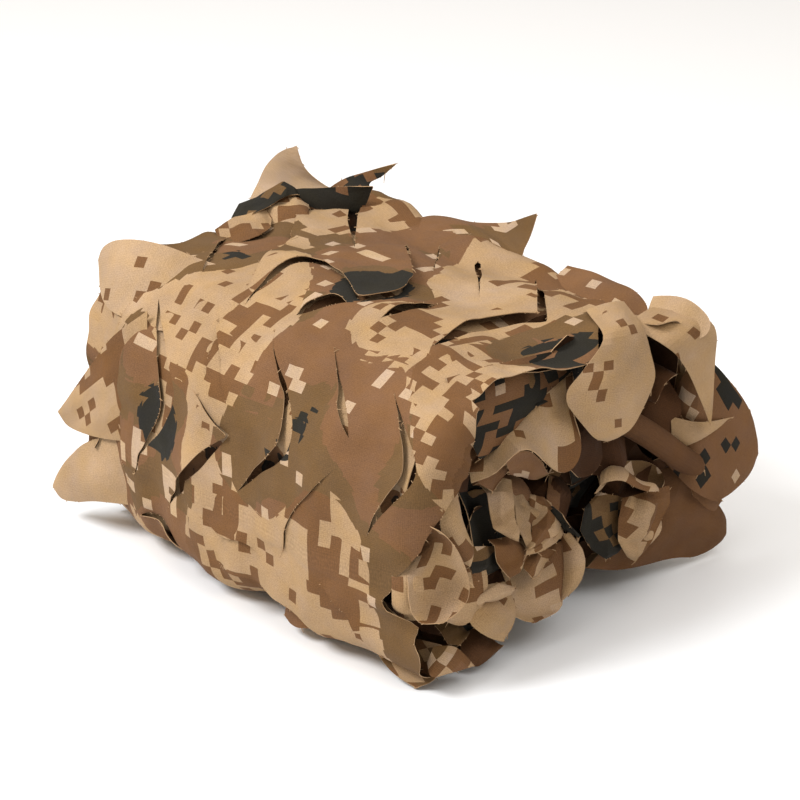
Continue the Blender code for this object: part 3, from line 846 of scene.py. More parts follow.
def cutPanel(lines):
    # the flat panel with its slits: corners, the middle of the faces around each corner, and faces
    border = panelBorder()
    coords = [tuple(p) for p in border]
    edges = [(i, (i + 1) % len(border)) for i in range(len(border))]
    splits, holes = addSlits(lines, coords, edges)
    coords += [tuple(p) for p in fillGrid(border, np.array(coords))]
    result = delaunay_2d_cdt([Vector(p) for p in coords], edges, [], 0, 1e-5, True)
    flat = np.array([tuple(v) for v in result[0]])
    triangles = np.array(result[2])
    middles = flat[triangles].mean(axis=1)
    good = inside(middles, border)
    for hole in holes:
        leftSide = [quad[0] for quad in hole] + [hole[-1][2]]
        rightSide = [quad[1] for quad in hole] + [hole[-1][3]]
        good &= ~inside(middles, np.array(leftSide + rightSide[::-1]))
    triangles = triangles[good]
    seams = {tuple(sorted(edge)) for edge, origin in zip(result[1], result[4]) if splits & set(origin)}
    bm = bmesh.new()
    verts = [bm.verts.new((p[0], p[1], 0)) for p in flat]
    for triangle in triangles:
        bm.faces.new([verts[i] for i in triangle])
    bmesh.ops.delete(bm, geom=[v for v in bm.verts if not v.link_faces], context="VERTS")
    marked = {vert: index for index, vert in enumerate(verts) if vert.is_valid}
    toSplit = [e for e in bm.edges
               if tuple(sorted((marked[e.verts[0]], marked[e.verts[1]]))) in seams]
    bmesh.ops.split_edges(bm, edges=toSplit)
    bm.verts.index_update()
    plane = np.array([(v.co.x, v.co.y) for v in bm.verts])
    inward = np.array([np.mean([tuple(f.calc_center_median())[:2] for f in v.link_faces], axis=0)
                       for v in bm.verts])
    faces = [[v.index for v in f.verts] for f in bm.faces]
    bm.free()
    return plane, inward, faces


def liftLips(lines, plane, inward):
    # how far each corner lifts off the skin and slides along it beside the slits
    nudged = plane + (inward - plane) * panel["nudge"]
    lift = np.zeros(len(plane))
    slide = np.zeros_like(plane)
    half, fade = lips["halfShare"], lips["fade"]
    for slit, line, _ in lines:
        distance, sign, share, gap, across = nearestOn(line, nudged)
        distance = np.maximum(distance - gap / 2, 0)
        first = np.sin(math.pi * np.clip(share / half, 0, 1)) ** lips["swell"]
        second = np.sin(math.pi * np.clip((share - (1 - half)) / half, 0, 1)) ** lips["swell"]
        left = slit.lifts[0] * first + slit.lifts[2] * second
        right = slit.lifts[1] * first + slit.lifts[3] * second
        mine, other = np.where(sign > 0, left, right), np.where(sign > 0, right, left)
        fall = np.clip(1 - distance / slit.reach, 0, 1) ** fade
        lift += mine * fall
        sunk = lips["sink"] * np.clip(other - mine, 0, lips["sinkFull"]) / lips["sinkFull"]
        lift -= sunk * np.clip(1 - distance / lips["sinkReach"], 0, 1) ** fade
        push = slit.over * np.clip(mine - other, 0, lips["slideFull"]) / lips["slideFull"]
        slide -= across * (sign * push * fall * np.maximum(first, second))[:, None]
    return lift, slide


def outerTurn():
    print("outer turn")
    lines = slitLines()
    plane, inward, faces = cutPanel(lines)
    lift, slide = liftLips(lines, plane, inward)
    moved = plane + slide
    x, girth = moved[:, 0], moved[:, 1]
    angle = angleAt(girth)
    lift += unevenness(plane)
    toEdge = np.minimum(np.interp(angle, edgeRows[:, 0], edgeRows[:, 1]) - plane[:, 0],
                        plane[:, 0] - np.interp(angle, edgeRows[:, 0], edgeRows[:, 2]))
    loose = np.clip(1 - toEdge / flutter["reach"], 0, 1) ** 2
    lift += loose * (ripple(plane, flutter["ripple"]) + flutter["least"])
    weight = smoothStep((angle - wrap["low"]) / wrap["fade"])
    weight *= smoothStep((wrap["high"] - angle) / wrap["fade"])
    beyond = np.maximum(x - wrap["start"], 0) * weight
    radius = wrap["radius"]
    turn = np.minimum(beyond / radius, math.pi / 2)
    wrappedX = wrap["start"] + radius * np.sin(turn)
    inwards = radius * (1 - np.cos(turn)) + np.maximum(beyond - radius * math.pi / 2, 0)
    x = np.where(beyond > 0, wrappedX * weight + x * (1 - weight), x)
    points, out = skin(x, girth, lift)
    points -= out * inwards[:, None]
    aboveFloor(points)
    tone = outerTone["brown"] * smoothStep(broadArea(plane, brownGroundArea))
    tone += outerTone["dark"] * smoothStep(broadArea(plane, darkGroundArea))
    rise = smoothStep((angle + outerTone["from"]) / outerTone["over"])
    tone *= rise * outerTone["share"] + (1 - outerTone["share"])
    return clothPiece("outerTurn", points, orient(points, faces, out), plane,
                      np.clip(tone, 0, outerTone["most"]), broadArea(plane, densePatchArea),
                      offset=-1.0, fray=0.22)


def orient(points, faces, out):
    # turns every face to look outward
    turned = []
    points = np.asarray(points)
    for face in faces:
        a, b, c = (points[i] for i in face[:3])
        normal = np.cross(b - a, c - a)
        turned.append(face if normal @ out[face[0]] >= 0 else face[::-1])
    return turned


# hollows of the inner turn behind the slits; the tone in them is raised as well, a painted shade, so a dark
# gap shows behind a slit
Pit = namedtuple("Pit", "x angle radius depth")
pits = (
    Pit(-18, 174, 16, 10),
    Pit(-38, 180, 16, 9),
    Pit(36, 142, 9, 7),
    Pit(46, 169, 12, 8),
    Pit(30, 173, 14, 9),
    Pit(154, 167, 10, 6),
    Pit(20, 107, 17, 10),
    Pit(62, 97, 14, 9),
    Pit(108, 96, 17, 10),
    Pit(112, 84, 18, 10),
    Pit(84, 70, 18, 9),
    Pit(64, 97, 12, 8),
    Pit(150, 78, 14, 8),
    Pit(24, 68, 16, 8),
    Pit(-86, 68, 18, 9),
    Pit(-112, 66, 18, 8),
    Pit(30, 190, 26, 8),
    Pit(-122, 176, 12, 8),
    Pit(-118, 12, 24, 8),
    Pit(-60, 10, 22, 8),
    Pit(0, 14, 22, 8),
    Pit(60, 12, 22, 8),
    Pit(114, 12, 22, 8),
)


# the turn beneath the outer one, in millimetres and degrees
inset = {
    "columns": 96,
    "rows": 190,
    "startAngle": -86,
    "endAngle": 274,
    "depth": 2.7,
    "deepest": -15,
    "endMargin": 7,
    "nearLimit": 172,
    "floor": 1.6,
    # a strip of painted shade at the near end: where it starts, how far it fades in and the angle below which
    # it lies
    "shadeStripFrom": 104,
    "shadeStripOver": 10,
    "shadeStripBelow": 112,
    "brownAbove": 205,
    "tan": 0.05,
    "brown": 0.45,
    # how far the painted shade raises the tone
    "dark": 0.95,
    "printShift": (317.0, 205.0),
}


def innerTurn():
    print("inner turn")
    columns, rows = inset["columns"], inset["rows"]
    angles = np.linspace(inset["startAngle"], inset["endAngle"], rows)
    around = (angles + 90) % 360 - 90
    nearLimit = np.minimum(edgeRows[:, 1], inset["nearLimit"])
    near = np.interp(around, edgeRows[:, 0], nearLimit) - inset["endMargin"]
    far = np.interp(around, edgeRows[:, 0], edgeRows[:, 2]) + inset["endMargin"]
    share = np.linspace(0, 1, columns)
    x = far[:, None] + (near - far)[:, None] * share[None]
    girth = np.broadcast_to(girthAt(angles)[:, None], x.shape)
    plane = np.stack((x.ravel(), girth.ravel()), axis=1)
    lift = unevenness(plane) - inset["depth"]
    # dark is painted shade, laid on the pits here and on the near-end strip below
    dark = np.zeros(len(plane))
    for pit in pits:
        away = np.hypot(plane[:, 0] - pit.x, plane[:, 1] - girthAt(pit.angle)) / pit.radius
        dark = np.maximum(dark, np.exp(-away ** 2))
        lift -= pit.depth * np.exp(-away ** 2)
    lift = np.maximum(lift, inset["deepest"])
    points, out = skin(plane[:, 0], plane[:, 1], lift)
    aboveFloor(points, inset["floor"])
    faces = gridFaces(rows, columns)
    # a strip low on the near end, painted in shade as well
    nearShadeStrip = smoothStep((plane[:, 0] - inset["shadeStripFrom"]) / inset["shadeStripOver"])
    dark = np.maximum(dark, nearShadeStrip * (plane[:, 1] < girthAt(inset["shadeStripBelow"])))
    tone = inset["tan"] + inset["brown"] * (plane[:, 1] > girthAt(inset["brownAbove"])) + inset["dark"] * dark
    return clothPiece("innerTurn", points, orient(points, faces, out), plane + inset["printShift"], tone,
                      offset=-1.0)


# wound layers at the ends
Lobe = namedtuple("Lobe", "y z ry rz turns start hand")
lobes = (
    Lobe(-66, 96, 60, 86, 3.6, 60, 1),
    Lobe(70, 94, 62, 84, 3.4, 150, -1),
)

roll = {
    "edgeLimits": (-176, 172),
    "nearLimits": (-172, 166),
    "farLimits": (-176, 0),
    "middleZ": 112,
    "recess": 24,
    "innerRecess": 14,
    "edge": Ripple(45, 90, 10),
    "wide": Ripple(120, 70, 0.10),
    "faceted": Ripple(40, 80, 0.05),
    "bends": (Ripple(34, 95, 3.0), Ripple(30, 96, 3.0)),
    "depth": 34,
    "bands": 6,
    "floor": 3.0,
}


def rolls(name, end):
    print(name)
    side = 1 if end == "near" else -1
    column = 1 if end == "near" else 2
    points, faces, prints, tones = [], [], [], []
    for number, lobe in enumerate(lobes):
        steps = int(lobe.turns * 52)
        t = np.linspace(0, 1, steps)
        angle = np.radians(lobe.start + lobe.hand * 360 * lobe.turns * t)
        grow = 0.1 + 0.84 * t ** 0.8
        key = np.stack((t * 900, np.full(steps, number * 50.0)), axis=1)
        uneven = ripple(key, roll["wide"], number) + ripple(key, roll["faceted"], number, facets)
        wobble = 1 + uneven * (1.1 - t)
        y = lobe.y + lobe.ry * grow * wobble * np.cos(angle)
        z = lobe.z + lobe.rz * grow * wobble * np.sin(angle)
        base = np.interp(np.degrees(np.arctan2(z - roll["middleZ"], y)) % 360,
                         edgeRows[:, 0], np.clip(edgeRows[:, column], *roll["edgeLimits"]))
        base = np.clip(base, *roll[end + "Limits"])
        recess = roll["recess"] + roll["innerRecess"] * (1 - t)
        tip = base - side * (recess + np.abs(ripple(key, roll["edge"], number)))
        across = np.linspace(0, 1, roll["bands"] + 1)
        start = len(points)
        for i in range(steps):
            for k in across:
                x = tip[i] - side * k * roll["depth"]
                pinch = 1 + 0.05 * k * math.sin(7 * angle[i])
                points.append((x, lobe.y + (y[i] - lobe.y) * pinch,
                               max(lobe.z + (z[i] - lobe.z) * pinch, roll["floor"])))
                prints.append((x + 411, t[i] * lobe.turns * 260 + number * 777))
                # every wound layer takes the darkest tone, a painted shade for the hollow ends
                tones.append(1.0)
        for i in range(steps - 1):
            for k in range(roll["bands"]):
                a = start + i * (roll["bands"] + 1) + k
                faces.append([a, a + 1, a + roll["bands"] + 2, a + roll["bands"] + 1])
    points = np.array(points)
    points[:, 1:] += np.stack([ripple(points, row, kind=facets) for row in roll["bends"]], axis=1)
    aboveFloor(points, roll["floor"])
    # their cut edges take the dark reverse material instead of the paler cut edge, painted shade as well
    return clothPiece(name, points, faces, prints, tones, rim=1)


deep = {
    "near": 112.0,
    "far": -128.0,
    "corners": 96,
    "rings": 16,
    "middle": (6.0, 104.0),
    "fill": 0.965,
    "floor": 4.0,
    "faceted": Ripple(46, 120, 7),
    "wide": Ripple(30, 130, 3),
}


def endFloor(name, end):
    # the deep inner folds that close the view into the bundle, all in the darkest tone as painted shade
    print(name)
    side = 1 if end == "near" else -1
    angles = np.linspace(-180, 180, deep["corners"] + 1)[:-1]
    edge, rings = deep[end], deep["rings"]
    points, prints, faces = [], [], []
    yz = np.stack(outline(edge, angles), axis=1)
    middle = np.array(deep["middle"])
    for r in range(rings):
        share = 1 - r / rings
        ring = middle + (yz - middle) * (share * deep["fill"])
        for p in ring:
            points.append((edge, p[0], max(p[1], deep["floor"])))
            prints.append((p[0], p[1]))
    points = np.array(points)
    uneven = ripple(points[:, 1:], deep["faceted"], side, facets) + ripple(points[:, 1:], deep["wide"])
    points[:, 0] += side * uneven
    count = len(angles)
    for r in range(rings - 1):
        for i in range(count):
            j = (i + 1) % count
            faces.append([r * count + i, r * count + j, (r + 1) * count + j, (r + 1) * count + i])
    faces.append([(rings - 1) * count + i for i in range(count)])
    return clothPiece(name, points, faces, prints, np.full(len(points), 1.0))


# tongues that stand clear
# path from root to tip, the way the face looks at root and tip, width, cup across, pointedness,
# curl around its length in degrees, crumple, tone and turn of the print, and how dense its patches are
Tongue = namedtuple("Tongue", "name path face0 face1 width cup point curl crumple tone turn patches",
                    defaults=(0.35,))

roofRows = (
    Tongue("rearLeaf", ((62, 104, 190), (100, 108, 192), (140, 112, 188)), (0.0, -0.3, 0.9),
           (0.0, -0.4, 0.9), 34, 2, 0.3, 0, 1.0, 0.4, 0),
    Tongue("rearCorner", ((140, 112, 184), (160, 120, 186), (178, 132, 180)), (0.1, -0.5, 0.8),
           (0.4, -0.5, 0.7), 34, 2, 0.0, 0, 1.0, 0.05, 5, -0.4),
)
frontRows = (
    Tongue("footLeaf", ((78, -112, 30), (62, -124, 22), (48, -128, 12)), (0, -1, 0.2), (0, -1, 0.4),
           34, 3, 0.2, 0, 1.0, 0.5, 15),
)
nearRows = (
    # ringLeaf, rolledLeaf, deepA, deepB, deepC and deepE sit back in the near end; their tones near 1 give
    # plain dark brown, partly their own colour and partly painted shade
    Tongue("ringLeaf", ((128, 98, 152), (150, 97, 152), (174, 95, 151)), (0.2, -0.6, 0.6), (0.2, -0.6, 0.6),
           62, 0, 0.0, 300, 0.6, 0.98, 0, -1.0),
    Tongue("rolledLeaf", ((158, 62, 134), (168, 84, 120), (180, 130, 80)), (0.7, -0.5, 0.5),
           (0.7, -0.5, 0.5), 46, 0, 0.0, 300, 0.8, 0.93, 0, -1.0),
    Tongue("frayedLeaf", ((146, 88, 66), (168, 82, 54), (174, 76, 32)), (1, 0.1, 0.4), (0.8, 0, 0.5),
           44, 5, 0.3, 0, 4.0, 0.15, 50),
    Tongue("deepA", ((136, 20, 150), (158, 26, 130), (168, 32, 104)), (0.9, 0.1, 0.4), (0.9, 0, 0.5),
           54, 6, 0.1, 0, 3.0, 0.97, 20),
    Tongue("deepB", ((136, 50, 128), (156, 56, 112), (166, 60, 96)), (0.9, -0.2, 0.4), (0.9, 0, 0.3),
           50, 6, 0.1, 0, 3.0, 1.0, 50),
    Tongue("deepC", ((134, 96, 140), (152, 106, 122), (164, 112, 100)), (0.9, -0.3, 0.3), (0.9, -0.3, 0.3),
           50, 6, 0.1, 0, 3.0, 1.0, 10, -1.0),
    Tongue("deepD", ((140, -88, 84), (166, -88, 66), (176, -86, 42)), (0.9, -0.2, 0.4), (0.9, -0.2, 0.3),
           56, 6, 0.1, 0, 3.0, 0.2, 15),
    Tongue("deepE", ((132, 6, 100), (146, 12, 84), (154, 18, 60)), (0.9, -0.1, 0.4), (0.9, 0.1, 0.3),
           52, 6, 0.1, 0, 3.0, 1.0, 70),
)
farRows = (
    Tongue("farHigh", ((-140, -36, 186), (-172, -34, 158), (-186, -30, 122)), (-0.9, 0, 0.5),
           (-1, 0, 0.3), 72, 9, 0.0, 0, 2.0, 0.2, 10),
    Tongue("farFront", ((-140, -84, 136), (-174, -80, 112), (-190, -74, 80)), (-1, -0.2, 0.4),
           (-1, -0.1, 0.3), 64, 8, 0.1, 0, 3.0, 0.1, 30),
    Tongue("farLow", ((-140, -60, 76), (-170, -52, 54), (-184, -46, 22)), (-1, 0, 0.4), (-1, 0, 0.3),
           66, 8, 0.0, 0, 3.0, 0.5, 0),
    Tongue("farBack", ((-138, 60, 182), (-172, 66, 150), (-188, 72, 108)), (-1, 0.1, 0.4),
           (-1, 0.2, 0.2), 70, 9, 0.1, 0, 2.0, 0.1, 20),
    Tongue("farMiddle", ((-136, 20, 132), (-168, 14, 108), (-184, 10, 72)), (-1, 0, 0.4),
           (-1, 0.1, 0.3), 60, 8, 0.0, 0, 3.0, 0.6, 50),
    Tongue("farSide", ((-140, 100, 140), (-172, 110, 116), (-186, 120, 82)), (-1, 0.2, 0.4),
           (-1, 0.4, 0.2), 62, 8, 0.0, 0, 2.0, 0.2, 10),
    Tongue("farFoot", ((-138, 74, 80), (-168, 80, 58), (-184, 88, 24)), (-1, 0.2, 0.4), (-1, 0.2, 0.3),
           64, 8, 0.2, 0, 3.0, 0.1, 30),
    Tongue("farCurl", ((-138, -4, 80), (-160, -2, 66), (-176, 2, 40)), (-0.9, 0.2, 0.5), (-0.9, 0, 0.4),
           56, 0, 0.0, 140, 1.5, 0.3, 0),
    Tongue("farCorner", ((-140, -104, 84), (-166, -102, 60), (-180, -100, 30)), (-1, -0.4, 0.3),
           (-1, -0.4, 0.3), 54, 7, 0.1, 0, 2.5, 0.1, 15),
)


# sheets between two lines: left and right edges from root to tip, the way the face looks, how far the
# middle bulges, crumple, tone and turn of the print, and how dense its patches are
Flap = namedtuple("Flap", "name left right face bulge crumple tone turn patches", defaults=(0.35,))

roofFlaps = (
    Flap("shoulder", (onSkin("roof", -84, -46, -3), onSkin("roof", -104, -56, -1), (-134, -80, 209),
                      (-163, -89, 206), (-179, -92, 197), (-183, -94, 187)),
         (onSkin("front", -70, 176, -3), onSkin("front", -96, 168, -1.5), onSkin("front", -128, 164, -0.6),
          (-151, -112, 166), (-169, -104, 171), (-183, -94, 187)), (-0.2, -0.6, 0.8), 3, 1.0, 0.0, 10, -0.45),
    Flap("tallCusp", ((-180, 34, 189), (-183, 44, 199), (-184, 52, 208), (-181, 56, 219), (-175, 60, 228),
                      (-166, 62, 235), (-159, 63, 238), (-155, 64, 240)),
         ((-112, 84, 200), (-129, 81, 207), (-140, 76, 212), (-147, 71, 218), (-151, 67, 225),
          (-153, 65, 232),
          (-154, 64, 237), (-155, 64, 240)), (0.0, -0.8, 0.5), 2, 1.2, 0.0, 40, -0.8),
    Flap("stripeA", ((-163, 9, 197), (-171, 23, 202), (-164, 33, 206), (-163, 45, 210), (-161, 56, 214),
                     (-152, 58, 212), (-146, 66, 204)),
         ((-150, 4, 196), (-146, 16, 203), (-145, 27, 205), (-146, 39, 207), (-148, 51, 208), (-146, 57, 208),
          (-146, 66, 204)), (0.1, -0.7, 0.7), 2, 4.5, 0.74, 60, 0.5),
    Flap("stripeB", ((-158, 18, 194), (-155, 36, 203), (-154, 47, 206), (-154, 58, 207), (-145, 66, 202)),
         ((-134, 10, 186), (-134, 26, 194), (-128, 36, 198), (-122, 46, 200), (-145, 66, 202)),
         (0.1, -0.7, 0.7), 2, 4.0, 0.2, 35, 0.5),
    Flap("stripeC", ((-156, -12, 195), (-156, 5, 201), (-150, 12, 203), (-147, 20, 204), (-149, 36, 201)),
         ((-140, -18, 189), (-128, -10, 194), (-124, 2, 196), (-128, 15, 198), (-149, 36, 199)),
         (0.0, -0.7, 0.7), 2, 4.0, 0.1, 20, 0.7),
    Flap("backCusp", ((-164, 84, 190), (-148, 99, 207), (-131, 105, 216), (-116, 109, 223), (-102, 112, 229)),
         ((-100, 84, 190), (-117, 101, 204), (-123, 105, 210), (-114, 109, 217), (-102, 112, 229)),
         (0.1, -0.8, 0.5), 1.5, 0.8, 0.74, 20),
    Flap("ridgeDark", ((-160, 61, 206), (-146, 61, 211), (-131, 62, 215), (-114, 73, 218), (-103, 80, 219),
                       (-98, 86, 219)),
         ((-150, 60, 199), (-137, 61, 199), (-126, 63, 200), (-115, 73, 199), (-106, 82, 200),
          (-98, 86, 219)),
         (0.1, -0.7, 0.7), 1.5, 2.2, 0.8, 25, 0.2),
    Flap("ridgeTab", ((-90, 96, 186), (-74, 112, 196), (-58, 118, 199), (-34, 123, 200), (-7, 127, 206),
                      (8, 128, 213), (23, 128, 221)),
         ((-40, 84, 186), (-24, 92, 197), (-7, 100, 201), (4, 103, 200), (15, 105, 198), (27, 108, 195),
          (26, 112, 199), (24, 120, 206), (23, 128, 221)), (0.2, -0.7, 0.7), 3, 1.0, 0.45, 0),
)
frontFlaps = (
    Flap("leftLeaf", ((-104, -114, 178), (-123, -129, 158), (-145, -134, 130), (-168, -136, 101),
                      (-180, -137, 86)),
         ((-92, -119, 86), (-129, -131, 80), (-154, -134, 77), (-171, -136, 78), (-180, -137, 86)),
         (-0.2, -1, 0.1), 4, 1.5, 0.05, 8),
    Flap("lowLeaf", ((-106, -118, 92), (-149, -133, 73), (-169, -136, 56), (-183, -138, 38),
                     (-189, -139, 26)),
         ((-102, -116, 32), (-141, -133, 29), (-163, -136, 22), (-180, -138, 19), (-189, -139, 26)),
         (-0.1, -1, 0.1), 4, 1.2, 0.05, -8, -0.3),
)
